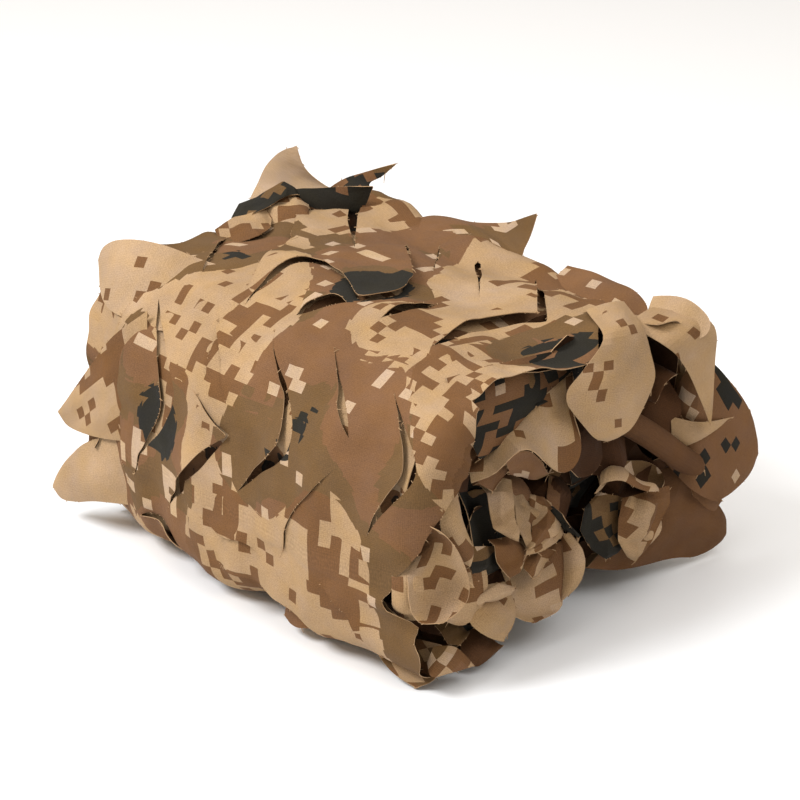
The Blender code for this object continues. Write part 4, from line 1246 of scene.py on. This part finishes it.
nearFlaps = (
    Flap("hanging", ((134, 60, 201), (170, 38, 199), (177, 14, 187), (182, -6, 180), (184, -8, 171),
                     (186, 5, 153), (186, 16, 141), (186, 28, 135)),
         ((134, 96, 197), (162, 84, 191), (175, 79, 176), (180, 78, 165), (184, 69, 156), (186, 52, 139),
          (186, 40, 135), (186, 28, 135)), (1, -0.1, 0.3), 5, 1.0, 0.0, 5, 0.0),
    Flap("pointed", ((150, 82, 190), (173, 93, 179), (176, 110, 161), (181, 123, 133), (182, 133, 112)),
         ((146, 112, 192), (166, 134, 186), (174, 143, 176), (179, 138, 156), (182, 134, 120),
          (182, 133, 112)), (0.9, -0.3, 0.3), 3, 1.0, 0.0, 0, 0.2),
    Flap("inner", ((150, -82, 200), (164, -80, 185), (170, -78, 162), (173, -74, 150)),
         ((146, 30, 186), (162, 1, 171), (168, -27, 165), (172, -50, 156), (173, -74, 150)),
         (1, -0.3, 0.3), 9, 1.6, 0.71, 12),
    Flap("innerLow", ((146, -84, 168), (158, -80, 150), (166, -70, 132), (170, -58, 122)),
         ((146, -20, 160), (156, -28, 142), (164, -40, 130), (170, -58, 122)), (1, 0, 0.2), 5, 3.0, 0.6, 30),
    Flap("bell", ((152, -66, 146), (158, -56, 150), (160, -36, 160), (164, -12, 170), (160, 22, 178)),
         ((172, -80, 136), (180, -69, 141), (187, -64, 151), (192, -58, 158), (193, -48, 155),
          (190, -33, 141), (188, -20, 130), (187, -9, 126), (187, 0, 131), (185, 4, 143), (178, 0, 168)),
         (0.8, -0.2, 0.6), 3, 1.4, 0.05, 20),
    Flap("bellIn", ((186, -64, 150), (190, -57, 156), (191, -47, 153), (188, -33, 140)),
         ((168, -42, 128), (166, -28, 121), (166, -17, 116), (170, -8, 118)),
          (0.7, -0.3, -0.6), 2, 1.0, 0.55, 0),
    Flap("large", ((148, 132, 123), (160, 139, 151), (166, 150, 148), (172, 162, 133), (175, 174, 117),
                   (177, 182, 102), (178, 188, 83), (178, 189, 72)),
         ((154, 122, 78), (168, 132, 61), (174, 149, 48), (176, 157, 48), (177, 171, 52), (178, 182, 60),
          (178, 189, 72)), (0.9, -0.4, 0.1), 4, 1.6, 0.655, 30),
    Flap("wedge", ((160, 118, 116), (172, 134, 111), (177, 163, 107)),
         ((160, 118, 90), (172, 135, 98), (177, 163, 107)), (0.9, -0.4, 0.3), 3, 2.0, 0.2, 40),
    Flap("blackFold", ((146, -70, 124), (156, -68, 106), (164, -69, 84), (170, -69, 66)),
         ((146, -42, 118), (152, -41, 92), (160, -47, 77), (170, -69, 66)), (1, 0, 0.1), -5, 2.0, 0.84, 0),
    Flap("small", ((156, -104, 132), (172, -108, 124), (177, -110, 114), (178, -102, 97), (178, -86, 82)),
         ((158, -80, 130), (172, -88, 116), (177, -87, 104), (178, -83, 92), (178, -86, 82)),
         (1, -0.2, 0.1), 6, 1.6, 0.1, 15),
    Flap("scoop", ((150, -116, 124), (172, -120, 122), (184, -116, 118), (188, -108, 106), (189, -101, 91),
                   (189, -97, 78), (189, -98, 69), (188, -105, 62), (187, -118, 58)),
         ((140, -112, 96), (158, -124, 90), (168, -130, 84), (172, -133, 74), (173, -132, 66),
          (178, -128, 58), (187, -118, 58)), (0.5, -0.8, -0.1), -11, 2.2, 0.1, 35, 0.8),
    Flap("scoopIn", ((142, -114, 96), (152, -128, 90), (158, -134, 80), (158, -134, 68), (150, -124, 52)),
         ((150, -100, 92), (166, -116, 86), (172, -120, 76), (172, -120, 64), (164, -112, 50)),
         (0.6, -0.8, 0), 4, 1.4, 0.0, 0),
    Flap("innerStrip", ((156, -9, 190), (160, -9, 179), (164, -11, 171), (168, -21, 168)),
         ((154, 33, 178), (160, 23, 170), (165, 3, 167), (168, -21, 168)),
         (1, -0.2, 0.3), 3, 3.0, 0.74, 40, 0.5),
    Flap("innerBar", ((158, -24, 193), (163, -28, 184), (168, -29, 172)),
         ((158, -12, 190), (164, -17, 181), (168, -29, 172)),
         (1, -0.2, 0.3), 2, 2.0, 0.3, 10, 0.6),
    Flap("pouchFold", ((166, 66, 75), (171, 57, 65), (173, 55, 50), (172, 65, 35), (171, 76, 26)),
         ((172, 106, 73), (176, 103, 62), (178, 93, 53), (177, 84, 40), (171, 76, 26)),
         (1, -0.1, 0.3), 7, 7.5, 0.15, 60, 0.8),
    Flap("floorFlap", ((160, 141, 57), (166, 151, 53), (170, 164, 42)),
         ((162, 144, 34), (167, 157, 33), (170, 164, 42)),
         (0.9, -0.2, 0.5), 3, 2.0, 0.5, 20, 0.4),
    Flap("crescent", ((170, 35, 90), (173, 36, 96), (175, 41, 98), (177, 52, 96), (178, 64, 88),
                      (178, 76, 81), (177, 90, 76)),
         ((164, 49, 94), (164, 54, 101), (166, 64, 99), (170, 68, 94), (173, 76, 87), (175, 88, 81),
          (177, 90, 76)),
         (0.7, -0.2, 0.7), 3, 1.5, 0.2, 0, 0.5),
    Flap("bowlBack", ((160, 62, 98), (156, 80, 94), (154, 102, 86), (156, 114, 77), (162, 112, 71),
                      (168, 102, 70)),
         ((164, 58, 92), (164, 71, 85), (164, 83, 77), (166, 90, 73), (168, 96, 71), (168, 102, 70)),
         (0.8, 0, 0.5), -6, 1.5, 0.55, 30, 0.4),
    # the floor leaf's tone of 0.9 turns its brown towards plain dark brown, partly its own colour and partly
    # painted shade
    Flap("floor", ((146, 115, 76), (156, 139, 67), (164, 154, 49), (167, 163, 39), (169, 170, 25),
                   (170, 169, 15)),
         ((156, 44, 27), (162, 73, 18), (166, 118, 12), (168, 141, 6), (169, 159, 8), (170, 169, 15)),
         (0.8, -0.1, 0.5), 8, 3.4, 0.9, 10, -1.0),
    Flap("crumpleD", ((154, -12, 99), (162, -15, 90), (170, -24, 82), (176, -34, 75)),
         ((156, 10, 85), (166, 9, 76), (172, -3, 73), (176, -34, 75)),
         (0.9, -0.2, 0.5), 5, 4.5, 0.08, 70, 0.3),
    Flap("crumpleB", ((164, -71, 86), (170, -78, 76), (174, -78, 67)),
         ((162, -41, 75), (169, -49, 65), (174, -78, 67)),
         (0.9, -0.3, 0.4), 5, 5.0, 0.76, 30, 0.6),
    Flap("crumpleC", ((168, -80, 68), (174, -79, 56), (178, -61, 62), (180, -49, 56)),
         ((170, -77, 50), (175, -64, 48), (179, -52, 51), (180, -49, 56)),
         (0.8, -0.3, 0.6), 5, 4.5, 0.1, 20, 0.4),
    Flap("sideTop", ((160, 0, 87), (164, 1, 91), (170, 5, 85), (178, 11, 68)),
         ((166, 10, 71), (170, 11, 70), (175, 11, 70), (178, 11, 68)),
         (0.8, -0.2, 0.5), 3, 4.0, 0.8, 70, 0.5),
    # sideLeft is the shaded inside of the same leaf as side; its browner tone is partly its print and partly
    # painted shade
    Flap("sideLeft", ((158, -38, 55), (168, -42, 46), (174, -48, 36), (179, -41, 29), (182, -32, 24)),
         ((167, 8, 64), (176, 1, 50), (181, -5, 36), (183, -9, 26), (182, -32, 24)),
         (0.8, -0.5, 0.3), -6, 2.4, 0.3, 12, 0.4),
    Flap("side", ((166, 8, 67), (175, 2, 54), (180, -4, 40), (182, -7, 31)),
         ((172, 10, 71), (182, 12, 61), (185, 11, 50), (185, 5, 39), (182, -7, 31)),
         (0.8, -0.5, 0.3), 5, 2.0, 0.08, 10, 0.2),
    Flap("petalLow", ((160, -90, 54), (170, -83, 49), (178, -84, 40), (182, -74, 30), (184, -63, 23)),
         ((166, -43, 52), (174, -42, 38), (181, -50, 29), (184, -63, 23)),
         (0.8, -0.4, 0.5), 8, 3.0, 0.1, 30, 0.05),
    Flap("faceted", ((148, -52, 121), (160, -54, 116), (166, -56, 101), (170, -58, 96), (174, -43, 85),
          (175, -41, 84)),
         ((158, -31, 117), (168, -38, 107), (174, -43, 99), (177, -42, 92), (175, -41, 84)),
         (0.8, -0.5, 0.4), 3, 3.6, 0.05, 25, 0.05),
    Flap("facetedR", ((150, -22, 111), (160, -29, 101), (166, -33, 93), (170, -34, 86), (174, -32, 75)),
         ((148, -7, 99), (158, -8, 89), (162, -2, 85), (168, -6, 78), (174, -32, 75)),
         (0.9, -0.1, 0.5), 3, 4.5, 0.05, 65, 0.15),
    Flap("facetTop", ((146, -54, 116), (150, -50, 116), (154, -23, 98), (154, -5, 85)),
         ((144, -43, 119), (148, -18, 112), (150, -8, 102), (154, -5, 85)),
         (0.9, -0.2, 0.5), 3, 3.0, 0.46, 10, -0.6),
    Flap("crumpleA", ((164, -56, 86), (170, -56, 84), (174, -58, 74), (177, -57, 70), (178, -51, 62)),
         ((164, -22, 74), (171, -29, 66), (177, -42, 62), (178, -51, 62)),
         (0.8, -0.3, 0.5), 3, 4.5, 0.1, 55, 0.5),
    Flap("crumpleE", ((158, 4, 77), (168, -9, 76), (174, -25, 76), (177, -35, 76), (178, -37, 73)),
         ((162, 12, 73), (168, 8, 69), (172, -3, 68), (176, -20, 69), (178, -37, 73)),
         (0.9, -0.1, 0.5), 4, 4.0, 0.05, 5, 0.0),
    Flap("crumpleF", ((166, -28, 69), (174, -34, 61), (180, -31, 55)),
         ((166, 4, 58), (173, -13, 57), (179, -24, 55), (180, -31, 55)),
         (0.8, -0.1, 0.6), 3, 4.0, 0.1, 80, 0.5),
    Flap("bottomRim", ((170, -115, 22), (177, -118, 16), (179, -105, 14), (180, -84, 12)),
         ((168, -108, 30), (174, -96, 28), (178, -89, 20), (180, -84, 12)),
         (0.8, -0.4, 0.5), 4, 3.0, 0.3, 70, 0.6),
    Flap("bottomChar", ((158, -97, 37), (168, -95, 27), (172, -89, 25)),
         ((156, -60, 22), (166, -76, 25), (172, -89, 25)),
         (1, -0.3, 0.4), 3, 3.6, 0.7, 35, 0.5),
    Flap("bottomLeaf", ((160, -78, 23), (170, -83, 14), (175, -78, 7), (177, -69, 9), (178, -56, 15)),
         ((162, -59, 24), (170, -60, 20), (176, -59, 17), (178, -56, 15)),
         (0.9, -0.2, 0.4), 4, 3.0, 0.95, 15, -1.0),
    Flap("bottomLow", ((116, -118, 26), (130, -120, 13), (147, -121, 6), (163, -118, 2)),
         ((170, -103, 30), (173, -105, 20), (172, -111, 9), (163, -118, 2)),
         (0.7, -0.6, 0.4), -3, 3.0, 0.25, 20, 0.8),
    Flap("pouch", ((156, 53, 80), (160, 35, 76), (162, 30, 62), (164, 40, 45), (165, 54, 33)),
         ((160, 80, 67), (164, 80, 52), (165, 74, 39), (165, 54, 33)),
         (1, -0.2, 0.2), 6, 4.0, 0.75, 25, 0.5),
)


def unit(v):
    v = np.asarray(v, float)
    return v / np.linalg.norm(v)


def tongueGrid(row, seed, rowsAlong=22, columns=15):
    path = through(row.path, 2.0)
    arc = np.concatenate(([0], np.cumsum(np.linalg.norm(np.diff(path, axis=0), axis=1))))
    length = arc[-1]
    share = 1 - (1 - np.linspace(0, 1, rowsAlong)) ** 1.5
    centre = np.stack([np.interp(share * length, arc, path[:, i]) for i in range(3)], axis=1)
    tangent = np.gradient(centre, share, axis=0)
    tangent /= np.linalg.norm(tangent, axis=1, keepdims=True)
    face = unit(row.face0) * (1 - share[:, None]) + unit(row.face1) * share[:, None]
    across = np.cross(tangent, face)
    across /= np.linalg.norm(across, axis=1, keepdims=True)
    normal = np.cross(across, tangent)
    roundTip = np.sqrt(np.maximum(1 - 0.995 * share ** 2.8, 0.0025))
    sharpTip = np.maximum((1 - share) ** 0.85, 0.02)
    half = row.width / 2 * (roundTip * (1 - row.point) + sharpTip * row.point)
    k = np.linspace(-1, 1, columns)
    rng = np.random.default_rng(seed)
    points, prints = [], []
    turn = math.radians(row.turn)
    shift = rng.uniform(200, 3000, 2)
    for i in range(rowsAlong):
        flatAcross = half[i] * k
        if row.curl:
            radius = row.width / math.radians(row.curl)
            bend = flatAcross / radius
            sideways, depth = radius * np.sin(bend), radius * (1 - np.cos(bend))
        else:
            sideways, depth = flatAcross, np.zeros(columns)
        dish = row.cup * (1 - k ** 2) * math.sin(math.pi * min(share[i] * 1.05, 1))
        along = share[i] * length
        plane = np.stack((flatAcross, np.full(columns, along)), axis=1) + shift
        rough = waves(plane, 34, seed) * row.crumple * 0.6 + facets(plane, 30, seed + 1) * row.crumple * 0.7
        rough *= min(1.0, share[i] * 4 + 0.15)
        edge = np.abs(k) ** 3 * waves(plane, 26, seed + 2) * 1.3
        offset = dish - depth + rough + edge
        points.append(centre[i] + across[i] * sideways[:, None] + normal[i] * offset[:, None])
        u = flatAcross * math.cos(turn) - along * math.sin(turn)
        v = flatAcross * math.sin(turn) + along * math.cos(turn)
        prints.append(np.stack((u, v), axis=1) + shift)
    faces = gridFaces(rowsAlong, columns)
    points, prints = np.concatenate(points), np.concatenate(prints)
    a, b, c = (points[i] for i in faces[3][:3])
    if np.cross(b - a, c - a) @ normal[0] < 0:
        faces = [f[::-1] for f in faces]
    aboveFloor(points)
    return points, faces, prints


def resampled(line, count, last):
    arc = np.concatenate(([0], np.cumsum(np.linalg.norm(np.diff(line, axis=0), axis=1))))
    places = (1 - (1 - np.linspace(0, 1, count)) ** 1.35) * arc[-1] * last
    return np.stack([np.interp(places, arc, line[:, i]) for i in range(3)], axis=1), places


def flapGrid(row, seed, rowsAlong=36, columns=23):
    folded = row.crumple > 3.5

    def side(line):
        # in a folded leaf every inner point is a sharp corner, so it is given twice
        inner = [p for p in line[1:-1] for _ in range(2 if folded else 1)]
        return resampled(through([line[0], *inner, line[-1]], 2.0), rowsAlong, 0.985)

    left, leftArc = side(row.left)
    right, rightArc = side(row.right)
    share = np.linspace(0, 1, columns)
    grid = left[:, None] * (1 - share[None, :, None]) + right[:, None] * share[None, :, None]
    along = np.gradient((left + right) / 2, axis=0)
    across = right - left
    normal = np.cross(along, across)
    length = np.linalg.norm(normal, axis=1, keepdims=True)
    normal = normal / np.maximum(length, 1e-6)
    flip = np.sign((normal * unit(row.face)).sum(axis=1, keepdims=True))
    normal = normal * flip
    normal = normal + unit(row.face) * 0.5
    normal /= np.linalg.norm(normal, axis=1, keepdims=True)
    width = np.linalg.norm(across, axis=1)
    rng = np.random.default_rng(seed)
    shift = rng.uniform(200, 3000, 2)
    u = (share[None] - 0.5) * width[:, None]
    v = np.broadcast_to(((leftArc + rightArc) / 2)[:, None], u.shape)
    plane = np.stack((u.ravel(), v.ravel()), axis=1) + shift
    # a crumpled leaf is folded along a crease, the others are gently bowed
    bow = 4 * share * (1 - share)
    if folded:
        bow = np.interp(share, (0, 0.42, 0.58, 1), (0, 1, 0.55, 0)) ** 0.9
    arch = bow[None] * np.clip(width / max(width.max(), 1), 0, 1)[:, None]
    rough = (waves(plane, 38, seed) * 0.3 + facets(plane, 34, seed + 1) * 0.5) * row.crumple
    if folded:
        rough = creased(plane, 19, seed) * row.crumple * 0.85
        rough = rough + creased(plane, 9, seed + 1) * row.crumple * 0.18
    fade = 0.35 + 0.65 * np.broadcast_to((4 * share * (1 - share))[None] ** 0.5, u.shape).ravel()
    offset = (arch.ravel() * row.bulge + rough * fade).reshape(u.shape)
    points = (grid + normal[:, None] * offset[..., None]).reshape(-1, 3)
    turn = math.radians(row.turn)
    turnedU = u * math.cos(turn) - v * math.sin(turn)
    turnedV = u * math.sin(turn) + v * math.cos(turn)
    prints = np.stack((turnedU, turnedV), axis=-1).reshape(-1, 2) + shift
    faces = gridFaces(rowsAlong, columns)
    a, b, c = (points[i] for i in faces[columns * 4][:3])
    if np.cross(b - a, c - a) @ unit(row.face) < 0:
        faces = [face[::-1] for face in faces]
    aboveFloor(points)
    return points, faces, prints


def tongues(name, rows, seed):
    print(name)
    points, faces, prints, tones, patches = [], [], [], [], []
    for number, row in enumerate(rows):
        made = flapGrid if isinstance(row, Flap) else tongueGrid
        size = (20, 15) if row.name == "fold" else ()
        part, partFaces, partPrints = made(row, seed + number * 7, *size)
        start = sum(len(p) for p in points)
        points.append(part)
        prints.append(partPrints)
        tones += [row.tone] * len(part)
        patches += [row.patches] * len(part)
        faces += [[i + start for i in face] for face in partFaces]
    return clothPiece(name, np.concatenate(points), faces, np.concatenate(prints), tones, patches, crease=13,
                      fray=0.0 if rows[0].name == "fold" else 0.13)


def crumpledFolds(end, count, seed):
    # small strips pressed in behind the leaves of one end; their tones run dark, a painted shade for the
    # voids between the leaves
    rng = np.random.default_rng(seed)
    sign = 1 if end == "near" else -1
    rows = []
    while len(rows) < count:
        y, z = rng.uniform(-112, 128), rng.uniform(22, 188)
        x = sign * rng.uniform(126, 152)
        point, _ = skin(np.array([sign * 150.0]), np.array([toGirth("angle", 150, math.degrees(
            math.atan2(z - 100, y)))]), -22)
        reachHere = math.hypot(y, z - 100)
        if reachHere > math.hypot(point[0][1], point[0][2] - 100):
            continue
        heading = rng.uniform(0, 2 * math.pi)
        along = np.array((rng.uniform(-0.5, 0.5), math.cos(heading), math.sin(heading)))
        across = np.array((rng.uniform(-0.7, 0.7), -math.sin(heading), math.cos(heading)))
        size, wide = rng.uniform(15, 26), rng.uniform(10, 20)
        middle = np.array((x, y, z))
        left = [tuple(middle + along * size * t - across * wide * w) for t, w in
                ((-1, 0.7), (-0.4, 1), (0.4, 0.9), (1, 0.35), (1.15, 0))]
        right = [tuple(middle + along * size * t + across * wide * w) for t, w in
                 ((-1, 0.8), (-0.4, 0.9), (0.4, 1), (1, 0.4), (1.15, 0))]
        # the dark tones picked here are painted shade
        rows.append(Flap("fold", left, right, (sign, 0, 0.3), rng.uniform(-8, 8), rng.uniform(3, 6.5),
                         rng.choice((0.7, 0.84, 0.95, 1.0, 1.0)), rng.uniform(0, 90), 0.6))
    return tuple(rows)


outer = outerTurn()
inner = innerTurn()
nearRolls = rolls("nearRolls", "near")
farRolls = rolls("farRolls", "far")
nearFloor = endFloor("nearFloor", "near")
farFloor = endFloor("farFloor", "far")
roofTongues = tongues("roofTongues", roofFlaps + roofRows, 300)
frontTongues = tongues("frontTongues", frontFlaps + frontRows, 400)
nearTongues = tongues("nearTongues", nearFlaps + nearRows, 500)
farTongues = tongues("farTongues", farRows, 700)
nearFolds = tongues("nearFolds", crumpledFolds("near", 46, 17), 900)
farFolds = tongues("farFolds", crumpledFolds("far", 46, 18), 1300)

# studio
print("studio")
bpy.ops.mesh.primitive_plane_add(size=6.0, location=(0, 0, 0))
floor = bpy.context.active_object
floor.name = "floor"
floor.data.materials.append(floorMaterial())

world = bpy.data.worlds.new("studio")
world.use_nodes = True
world.node_tree.nodes["Background"].inputs["Color"].default_value = (1, 0.91, 0.80, 1)
world.node_tree.nodes["Background"].inputs["Strength"].default_value = 0.62
bpy.context.scene.world = world


def backFrom(azimuth, elevation):
    a, e = math.radians(azimuth), math.radians(elevation)
    return Vector((math.sin(a) * math.cos(e), -math.cos(a) * math.cos(e), math.sin(e)))


def place(thing, target, back, distance):
    # sets a light or the camera back from its target and turns it to look there
    thing.location = Vector(target) + back * distance
    thing.rotation_mode = "QUATERNION"
    thing.rotation_quaternion = (-back).to_track_quat("-Z", "Y")
    bpy.context.scene.collection.objects.link(thing)


def areaLight(name, azimuth, elevation, distance, size, energy, target=(0, 0, 0.1)):
    data = bpy.data.lights.new(name, "AREA")
    data.shape = "DISK"
    data.size = size
    data.energy = energy
    light = bpy.data.objects.new(name, data)
    place(light, target, backFrom(azimuth, elevation), distance)


areaLight("key", -18, 46, 2.4, 0.9, 56)
areaLight("top", 30, 82, 2.2, 2.0, 18)
areaLight("fill", 92, 50, 2.4, 1.0, 12)

camera = bpy.data.objects.new("camera", bpy.data.cameras.new("camera"))
camera.data.sensor_width = 36
camera.data.lens = 126
lookedAt = (12, 9, 113)
place(camera, (lookedAt - centring) * mm, backFrom(47, 24), 1.9)
bpy.context.scene.camera = camera
bpy.context.scene.view_settings.view_transform = "Standard"
